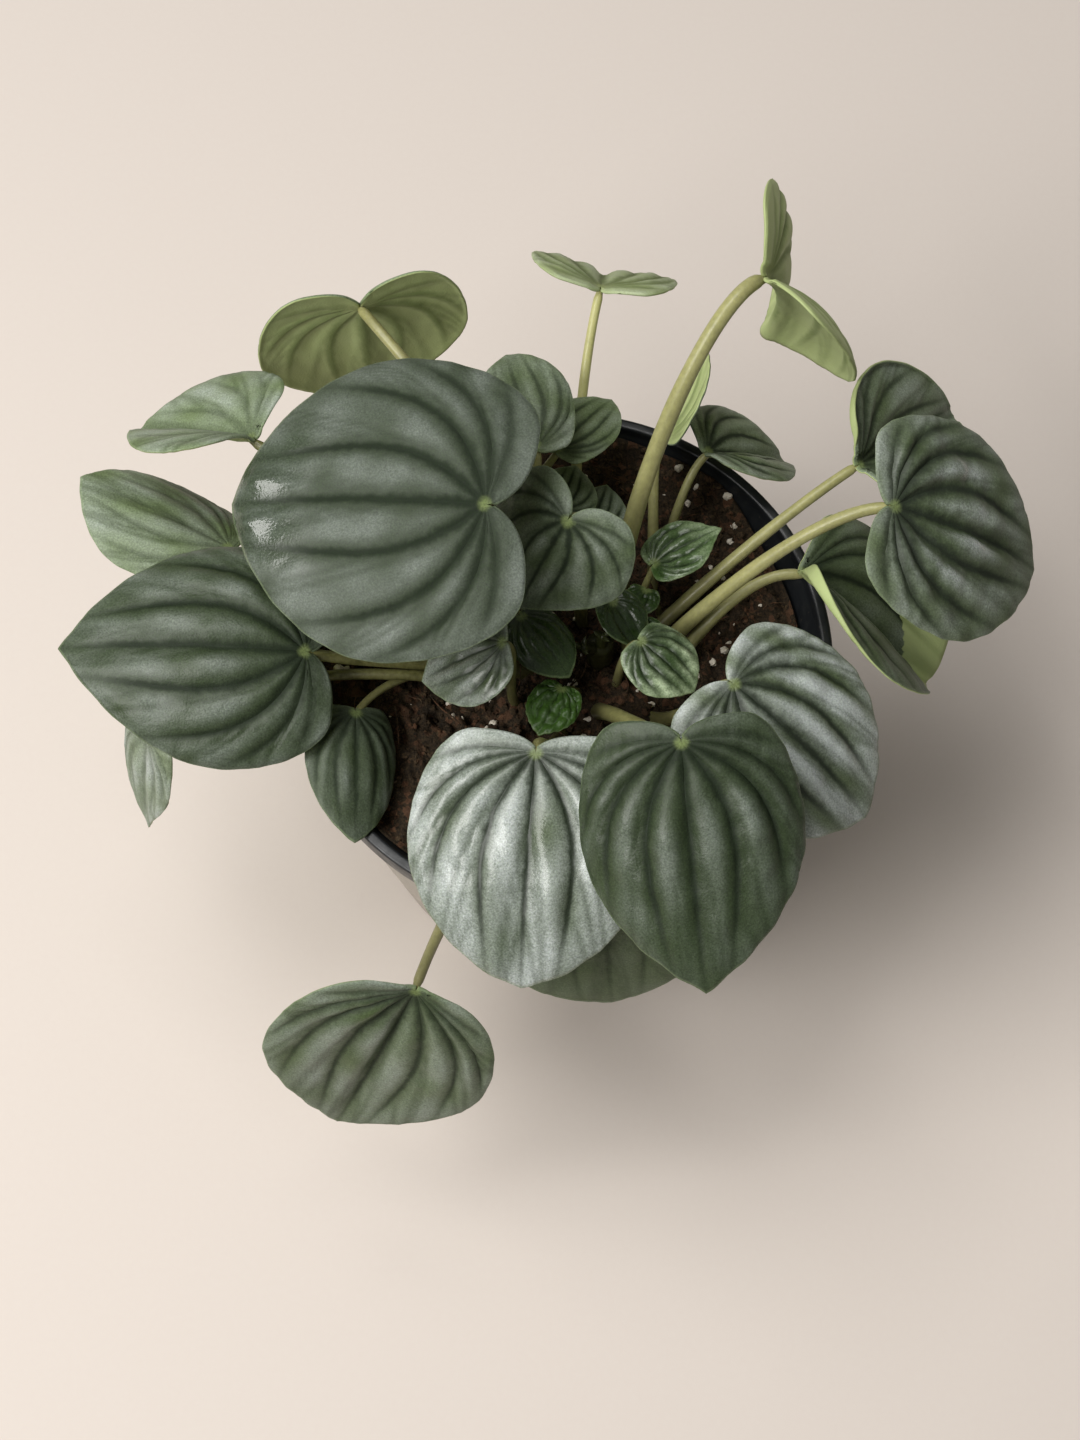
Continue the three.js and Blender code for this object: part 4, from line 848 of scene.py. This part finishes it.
def floor_finish():
    """Plain cream paper sweep."""
    f = Finish("cream_paper_sweep")
    return f.done(f.mix(f.grain(1.5, 2, 0.6), "#d4cac2", "#d6cdc5"), 0.75, Specular_IOR_Level=0.2)


# Greens of a leaf: deep and bright skin, bloom, vein zones, and the underside's pale and deep green, partly its own
# colour and partly painted glow of light shining through the leaf.
QUILTED = ("#2b3720", "#66774b", "#abb2ae", "#212d17", "#a8b57c", "#63723d")
FRESH = ("#1a270e", "#4c7429", "#afbf9d", "#1b2b10", "#8fa060", "#5f7038")
leaf_green = leaf_finish("quilted_leaf", QUILTED, 0.54, 0.02)
waxy_green = leaf_finish("waxy_quilted_leaf", QUILTED, 0.54, 0.4, coat_roughness=0.34)
glossy_green = leaf_finish("glossy_tipped_leaf", QUILTED, 0.72, 0.02, gleam=0.5, polish=0.6)
young_green = leaf_finish("young_leaf", FRESH, 0.42, 0.2, patchy=1.6)
stalk_green = stalk_finish("fleshy_stalk", "#45451d", "#b8b57c")
# The crown's colours are darker than the stalks' as painted shade of the deep shadow at the plant's heart.
crown_green_painted_shade = stalk_finish("green_crown_painted_shade", "#1c210d", "#474f28")
black = black_plastic()
cream = pale_glaze()
peat = peat_finish("damp_peat", "#19140d", "#463827", "#614330")
loose_peat = peat_finish("loose_peat", "#221b12", "#554430", "#704d38")
perlite = perlite_finish()


# Leaves

for leaf in map(leaf_of, LEAF_ROWS):
    number, name = leaf["number"], leaf["name"]
    dense = leaf["width"] > DENSE_WIDTH
    blade_points, blade_faces, marks = blade(leaf, dense)
    stalk_points, stalk_faces = stalk(leaf, dense)
    for key, values in marks.items():
        marks[key] = np.append(values, np.full(len(stalk_points), leaf["stem"] if key == "tone" else 0.0))
    fine_leaf = solid_mesh("quilted_leaf_" + name, [(blade_points, blade_faces), (stalk_points, stalk_faces)], marks,
                           own_materials=True)
    green = next((finish for group, finish in ((YOUNG, young_green), (GLOSSY, glossy_green), (WAXY, waxy_green))
                  if number in group), leaf_green)
    finished(fine_leaf, (green, stalk_green), "young_leaf" if number in YOUNG else "leaf", "leaf_" + name)


# Crown: a short upright stem with side shoots that end in buds, each wrapped in small scale leaves.

def crown_shells():
    """The crown's stem, its three shoots and the scales on each bud."""
    shells = []
    foot = np.array([CROWN_X, CROWN_Y, SOIL_TOP - ROOT_DEPTH])
    neck = np.array([CROWN_X, CROWN_Y, SOIL_TOP + 0.45 * CROWN_HEIGHT])
    t = np.linspace(0, 1, 14)[:, None]
    radii = CROWN_RADIUS * (1 - 0.2 * t[:, 0]) * (1 + 0.05 * np.sin(t[:, 0] * 26))
    shells.append(tube(foot + (neck - foot) * t, radii, 20, 0.04))
    start = neck + (foot - neck) * 0.35
    for shift in ((0.5, -0.5, 1.0), (-3.5, -2.5, 0.85), (3.5, 2, 0.8)):
        bud = np.array([CROWN_X + shift[0], CROWN_Y + shift[1], SOIL_TOP + shift[2] * CROWN_HEIGHT])
        middle = (start + bud) / 2 + (0, 0, 0.6)
        s = np.linspace(0, 1, 16)[:, None]
        centres = (1 - s) ** 2 * start + 2 * s * (1 - s) * middle + s * s * bud
        radii = CROWN_RADIUS * (0.55 - 0.33 * s[:, 0]) * (1 + 0.06 * np.sin(s[:, 0] * 30))
        shells.append(tube(centres, radii, 14, 0.05))
        for scale in range(3):
            turn = scale * 2.4 + shift[0]
            lean = np.array([math.cos(turn), math.sin(turn), 1.6])
            reach = np.linspace(0, 1, 9)[:, None]
            base = bud - (0, 0, 1.2)
            path = base + lean * reach * 1.5 + np.array([math.cos(turn), math.sin(turn), 0]) * 0.5 * reach**2
            shells.append(tube(path, 0.6 * np.sin(math.pi * (0.12 + 0.84 * reach[:, 0])), 8, 0.1))
    return shells


crown_parts = crown_shells()
crown_tone = np.full(sum(len(points) for points, _ in crown_parts), 0.35)
finished(solid_mesh("crown_with_buds", crown_parts, {"tone": crown_tone}), [crown_green_painted_shade], "green_stem", "crown_stem")


# Pots

def ring_at(radius, turn, height):
    """A ring of points about the pot's axis, one for each angle."""
    return np.stack([radius * np.cos(turn), radius * np.sin(turn), height + np.zeros_like(turn)], -1)


def turned(profile, sides):
    """Closed shell turned about the pot's axis from radius and height pairs that start and end on the axis."""
    turn = np.arange(sides) * 2 * math.pi / sides
    return skin([ring_at(r, turn, z) for r, z in profile[1:-1]], [[0, 0, profile[0][1]], [0, 0, profile[-1][1]]])


def rounded(profile, radii, steps=5):
    """Rounds the corners of a profile, each by its own radius in mm."""
    result = [profile[0]]
    for before, here, after, radius in zip(profile[:-2], profile[1:-1], profile[2:], radii):
        here = np.array(here, float)
        back = np.array(before, float) - here
        ahead = np.array(after, float) - here
        back_length, ahead_length = np.linalg.norm(back), np.linalg.norm(ahead)
        cut = min(radius, 0.45 * back_length, 0.45 * ahead_length)
        if cut < 0.02:
            result.append(tuple(here))
            continue
        start, end = here + back / back_length * cut, here + ahead / ahead_length * cut
        for step in range(steps + 1):
            t = step / steps
            result.append(tuple((1 - t) ** 2 * start + 2 * t * (1 - t) * here + t * t * end))
    return result + [profile[-1]]


def outer_pot_profile():
    """Radius and height pairs, from the middle of the foot up the outside and down the inside."""
    top = RIM - LIP_HEIGHT - GAP
    inner = OUTER_TOP_RADIUS - OUTER_WALL
    inner_base = OUTER_BASE_RADIUS - OUTER_WALL
    foot = OUTER_BASE_RADIUS - 3
    profile = [(0, FOOT_RECESS), (foot - 3, FOOT_RECESS), (foot - 2.2, 0), (OUTER_BASE_RADIUS - 0.6, 0),
               (OUTER_TOP_RADIUS, top), (inner, top), (inner_base, OUTER_FLOOR), (0, OUTER_FLOOR)]
    return rounded(profile, (0.4, 0.4, OUTER_FOOT_ROUND, 0.9, 0.9, 2.5))


def nursery_pot_profile():
    """Radius and height pairs, from the middle of the floor up the outside, round the lip and down the inside."""
    shoulder = RIM - LIP_HEIGHT
    floor = OUTER_FLOOR + GAP
    slope = (NURSERY_SHOULDER_RADIUS - NURSERY_BASE_RADIUS) / (shoulder - floor)
    inner_wall = NURSERY_BASE_RADIUS - NURSERY_WALL
    ledge = shoulder - 1.2
    profile = [(0, floor), (NURSERY_BASE_RADIUS, floor), (NURSERY_SHOULDER_RADIUS, shoulder),
               (RIM_RADIUS - 0.2, shoulder), (RIM_RADIUS, RIM), (RIM_RADIUS - LIP_WIDTH, RIM),
               (RIM_RADIUS - LIP_WIDTH - 0.5, RIM - 1.6),
               (NURSERY_SHOULDER_RADIUS - NURSERY_WALL + 0.9, shoulder + NURSERY_WALL),
               (inner_wall + slope * (ledge - floor), ledge),
               (inner_wall, floor + NURSERY_FLOOR), (0, floor + NURSERY_FLOOR)]
    return rounded(profile, (1.2, 0.3, 0.3, 0.8, 0.6, 0.5, 0.8, 1.0, 1.2))


def drilled(thing, drills):
    """Cuts closed shells out of an object and leaves a plain mesh."""
    cutter = solid_mesh("drain_drill", drills)
    cut = thing.modifiers.new("drain holes", "BOOLEAN")
    cut.operation = "DIFFERENCE"
    cut.solver = "EXACT"
    cut.object = cutter
    baked(thing, cut)
    bpy.data.objects.remove(cutter)
    return thing


finished(solid_mesh("pale_outer_pot", [turned(outer_pot_profile(), POT_SIDES)]), [cream], "pale_pot", "outer_pot")

drills = []
for hole in range(DRAIN_HOLES):
    turn = 2 * math.pi * (hole + 0.5) / DRAIN_HOLES
    centre = (DRAIN_HOLE_CIRCLE * math.cos(turn), DRAIN_HOLE_CIRCLE * math.sin(turn), OUTER_FLOOR + GAP - 4)
    shell, shell_faces = turned([(0, 0), (DRAIN_HOLE_RADIUS, 0), (DRAIN_HOLE_RADIUS, DRILL_LENGTH), (0, DRILL_LENGTH)],
                                DRILL_SIDES)
    drills.append((shell + centre, shell_faces))
nursery_pot = solid_mesh("black_nursery_pot", [turned(nursery_pot_profile(), POT_SIDES)])
finished(drilled(nursery_pot, drills), [black], "black_plastic", "nursery_pot")


# Soil

def soil_height(x, y):
    """Height of the soil in mm, as in the solids: dished towards the edge and lumpy."""
    share = np.hypot(x, y) / NURSERY_SHOULDER_RADIUS
    lumps = np.sin(0.31 * x + 1.3) * np.cos(0.27 * y - 0.4) + 0.6 * np.sin(0.53 * x - 0.47 * y)
    return SOIL_TOP - SOIL_EDGE_DROP * share * share + SOIL_LUMP * lumps * (1 - share * share)


def crumbly(x, y, size, seed):
    """Lumpy height in mm, from turbulence at several sizes."""
    spot = Vector((x / size, y / size, seed))
    return noise.turbulence(spot, 4, False, noise_basis="PERLIN_ORIGINAL", amplitude_scale=0.6, frequency_scale=2.1)


def soil_shell():
    """Bed of peat heaped against the pot's inner ledge, except where it dips on the right."""
    bottom = OUTER_FLOOR + GAP + NURSERY_FLOOR + GAP
    slope = (NURSERY_SHOULDER_RADIUS - NURSERY_BASE_RADIUS) / (RIM - LIP_HEIGHT - OUTER_FLOOR - GAP)

    def wall(z):
        return NURSERY_BASE_RADIUS + slope * (z - OUTER_FLOOR - GAP) - NURSERY_WALL - GAP

    turn = np.arange(SOIL_SIDES) * 2 * math.pi / SOIL_SIDES
    heaped = 1 - smooth(DIP_END, DIP_FLAT, np.abs((turn - DIP_TURN + math.pi) % (2 * math.pi) - math.pi))
    heaped = heaped * (0.85 + 0.15 * np.sin(3 * turn + 1) * np.sin(7 * turn))
    edge_height = RIM - SOIL_EDGE_LOW + SOIL_HEAP * heaped
    edge = NURSERY_SHOULDER_RADIUS - NURSERY_WALL + (edge_height - RIM + LIP_HEIGHT - NURSERY_WALL) * 0.96 - 0.15
    rows = []
    for ring in range(1, SOIL_RINGS + 1):
        radius = edge * (ring / SOIL_RINGS) ** 0.8
        x, y = radius * np.cos(turn), radius * np.sin(turn)
        fine = np.array([crumbly(a, b, CLOD_SIZE, 3.0) * CLOD_HEIGHT + crumbly(a, b, CRUMB_SIZE, 8.0) * CRUMB_HEIGHT
                         for a, b in zip(x, y)])
        z = soil_height(x, y) + (fine - LUMP_MEAN) * smooth(1.0, 0.95, ring / SOIL_RINGS)
        z = z + (edge_height - soil_height(x, y)) * smooth(0.86, 0.99, ring / SOIL_RINGS)
        rows.append(np.stack([x, y, z], -1))
    ledge_foot = RIM - LIP_HEIGHT - 1
    rows += [ring_at(wall(z), turn, z) for z in (ledge_foot, ledge_foot - 8, ledge_foot - 40, bottom + 1)]
    rows.append(ring_at(wall(bottom) - 1, turn, bottom))
    return skin(rows, [[0, 0, float(soil_height(0, 0))], [0, 0, bottom]], inward=True)


soil_points, soil_faces = soil_shell()
finished(solid_mesh("peat_bed", [(soil_points, soil_faces)]), [peat], "potting_soil", "soil")


# How many lumps there are in a metre on the loose crumbs.
CRUMB_LUMPS = 900.0


def scatter_tree():
    """Strews crumbs over a surface: a pebble turned and sized at random, then knocked out of round."""
    tree = bpy.data.node_groups.new("strew_crumbs", "GeometryNodeTree")
    face = tree.interface
    face.new_socket("Geometry", in_out="INPUT", socket_type="NodeSocketGeometry")
    sizes = {}
    for label, value in (("Amount per square metre", 1000.0), ("Smallest", 0.0005), ("Largest", 0.002),
                         ("Flatness", 0.7), ("Lumpiness", 0.3), ("Sunk", 0.0002)):
        sizes[label] = face.new_socket(label, in_out="INPUT", socket_type="NodeSocketFloat")
        sizes[label].default_value = value
    for label in ("Seed", "Roundness"):
        sizes[label] = face.new_socket(label, in_out="INPUT", socket_type="NodeSocketInt")
        sizes[label].default_value = 1
    sizes["Finish"] = face.new_socket("Finish", in_out="INPUT", socket_type="NodeSocketMaterial")
    face.new_socket("Geometry", in_out="OUTPUT", socket_type="NodeSocketGeometry")
    given = add(tree, "NodeGroupInput").outputs
    spread = add(tree, "GeometryNodeDistributePointsOnFaces",
                 {"Mesh": given["Geometry"], "Density": given["Amount per square metre"], "Seed": given["Seed"]})
    ball = add(tree, "GeometryNodeMeshIcoSphere", {"Radius": 0.5, "Subdivisions": given["Roundness"]})
    size = add(tree, "FunctionNodeRandomValue", {2: given["Smallest"], 3: given["Largest"], "Seed": 7})
    flat = add(tree, "ShaderNodeCombineXYZ", {0: 1.0, 1: 0.75, 2: given["Flatness"]})
    scaled = add(tree, "ShaderNodeVectorMath", {0: flat.outputs[0], "Scale": size.outputs[1]}, operation="SCALE")
    spin = add(tree, "FunctionNodeRandomValue", {0: (-0.6, -0.6, 0.0), 1: (0.6, 0.6, 6.28), "Seed": 11},
               data_type="FLOAT_VECTOR")
    placed = add(tree, "GeometryNodeInstanceOnPoints",
                 {"Points": spread.outputs["Points"], "Instance": ball.outputs["Mesh"],
                  "Rotation": spin.outputs[0], "Scale": scaled.outputs[0]})
    real = add(tree, "GeometryNodeRealizeInstances", {0: placed.outputs[0]})
    position = add(tree, "GeometryNodeInputPosition").outputs[0]
    lumps = add(tree, "ShaderNodeTexNoise", {"Vector": position, "Scale": CRUMB_LUMPS, "Detail": 2.0})
    centred = add(tree, "ShaderNodeVectorMath", {0: lumps.outputs["Color"], 1: (0.5, 0.5, 0.5)}, operation="SUBTRACT")
    amount = add(tree, "ShaderNodeMath", {0: given["Lumpiness"], 1: given["Largest"]}, operation="MULTIPLY")
    push = add(tree, "ShaderNodeVectorMath", {0: centred.outputs[0], "Scale": amount.outputs[0]}, operation="SCALE")
    sunk = add(tree, "ShaderNodeMath", {0: given["Sunk"], 1: -1.0}, operation="MULTIPLY")
    down = add(tree, "ShaderNodeCombineXYZ", {2: sunk.outputs[0]})
    moved = add(tree, "ShaderNodeVectorMath", {0: push.outputs[0], 1: down.outputs[0]}, operation="ADD")
    shaped = add(tree, "GeometryNodeSetPosition", {"Geometry": real.outputs[0], "Offset": moved.outputs[0]})
    soft = add(tree, "GeometryNodeSetShadeSmooth", {0: shaped.outputs[0], "Shade Smooth": False})
    coloured = add(tree, "GeometryNodeSetMaterial", {"Geometry": soft.outputs[0], "Material": given["Finish"]})
    add(tree, "NodeGroupOutput", {0: coloured.outputs[0]})
    return tree, {label: item.identifier for label, item in sizes.items()}


def strewn(name, bed, values):
    """A plain mesh of crumbs over the bed, with the tree's inputs set by their identifiers."""
    tree, names = scatter_tree()
    thing = bpy.data.objects.new(name, bed.copy())
    bpy.context.scene.collection.objects.link(thing)
    modifier = thing.modifiers.new("strew", "NODES")
    modifier.node_group = tree
    for label, value in values.items():
        modifier[names[label]] = value
    bpy.context.view_layer.update()
    return baked(thing, modifier)


top_faces = [face for face in soil_faces if max(face) < (SOIL_RINGS - 1) * SOIL_SIDES]
bed = bpy.data.meshes.new("soil_top")
bed.from_pydata((soil_points * MM).tolist(), [], top_faces)
bed.update()
for name, values in {
    "peat_crumbs": {"Amount per square metre": 170000.0, "Smallest": 0.0006, "Largest": 0.0021, "Flatness": 0.65,
                    "Lumpiness": 0.55, "Sunk": 0.0002, "Seed": 4, "Roundness": 2, "Finish": loose_peat},
    "perlite_grains": {"Amount per square metre": 14000.0, "Smallest": 0.0004, "Largest": 0.0021, "Flatness": 0.8,
                       "Lumpiness": 0.5, "Sunk": 0.0001, "Seed": 9, "Roundness": 3, "Finish": perlite},
}.items():
    finished(strewn(name, bed, values), [], "potting_soil")


def fibre_shells():
    """Peat fibres and bits of bark lying about on the soil."""
    rng = np.random.default_rng(21)
    shells = []
    for _ in range(FIBRES):
        radius, turn = FIBRE_FIELD * math.sqrt(rng.uniform()), rng.uniform(0, 2 * math.pi)
        heading, curve = rng.uniform(0, 2 * math.pi), rng.uniform(-0.5, 0.5)
        stride = rng.uniform(0.35, 1.1)
        x, y = radius * math.cos(turn), radius * math.sin(turn)
        path = []
        for step in range(FIBRE_STEPS):
            x += stride * math.cos(heading)
            y += stride * math.sin(heading)
            heading += curve * rng.uniform(0.2, 1.2)
            if math.hypot(x, y) > FIBRE_FIELD + 1:
                break
            path.append((x, y, float(soil_height(x, y)) + 0.5 + 0.5 * math.sin(step * 0.9)))
        if len(path) > 3:
            shells.append(tube(path, np.full(len(path), rng.uniform(0.07, 0.2)), 5))
    return shells


finished(solid_mesh("peat_fibres", fibre_shells()), [loose_peat], "potting_soil")


# Stage, light and camera

SWEEP = 1500
corners = np.array([(-SWEEP, -SWEEP, 0), (SWEEP, -SWEEP, 0), (SWEEP, SWEEP, 0), (-SWEEP, SWEEP, 0)])
floor = solid_mesh("paper_sweep", [(corners, [[0, 1, 2, 3]])])
floor.data.materials.append(floor_finish())


# Height in metres of the point that the lights face.
LIT_HEIGHT = 0.08


def soft_light(name, azimuth, elevation, width, height, power, tint):
    """Area light 1 m from the plant and turned to it: azimuth and elevation in degrees, width and height in metres."""
    lamp = bpy.data.lights.new(name, "AREA")
    lamp.shape = "RECTANGLE"
    lamp.size = width
    lamp.size_y = height
    lamp.energy = power
    lamp.color = tint
    turn, lift = math.radians(azimuth), math.radians(elevation)
    away = Vector((math.cos(lift) * math.cos(turn), math.cos(lift) * math.sin(turn), math.sin(lift)))
    thing = bpy.data.objects.new(name, lamp)
    thing.location = Vector((0, 0, LIT_HEIGHT)) + away
    thing.rotation_euler = away.to_track_quat("Z", "Y").to_euler()
    bpy.context.scene.collection.objects.link(thing)


soft_light("window_light", 205, 46, 0.7, 0.5, 9.5, (1.0, 0.985, 0.96))
soft_light("ceiling_light", 140, 71, 0.5, 0.5, 5.0, (1.0, 0.99, 0.97))
world = bpy.data.worlds.new("pale_room")
world.use_nodes = True
world.node_tree.nodes["Background"].inputs["Color"].default_value = (1.0, 0.98, 0.95, 1)
world.node_tree.nodes["Background"].inputs["Strength"].default_value = 0.21
bpy.context.scene.world = world
bpy.context.scene.view_settings.view_transform = "Standard"

# The photo's view, fitted to the round lip of the pot.
camera_data = bpy.data.cameras.new("photo_view")
camera_data.lens = 56
camera_data.sensor_width = 36
camera_data.clip_start = 0.01
camera = bpy.data.objects.new("photo_view", camera_data)
camera.location = (-0.0042, -0.1691, 0.5009)
camera.rotation_euler = (0.3605, 0, 0)
bpy.context.scene.collection.objects.link(camera)
bpy.context.scene.camera = camera
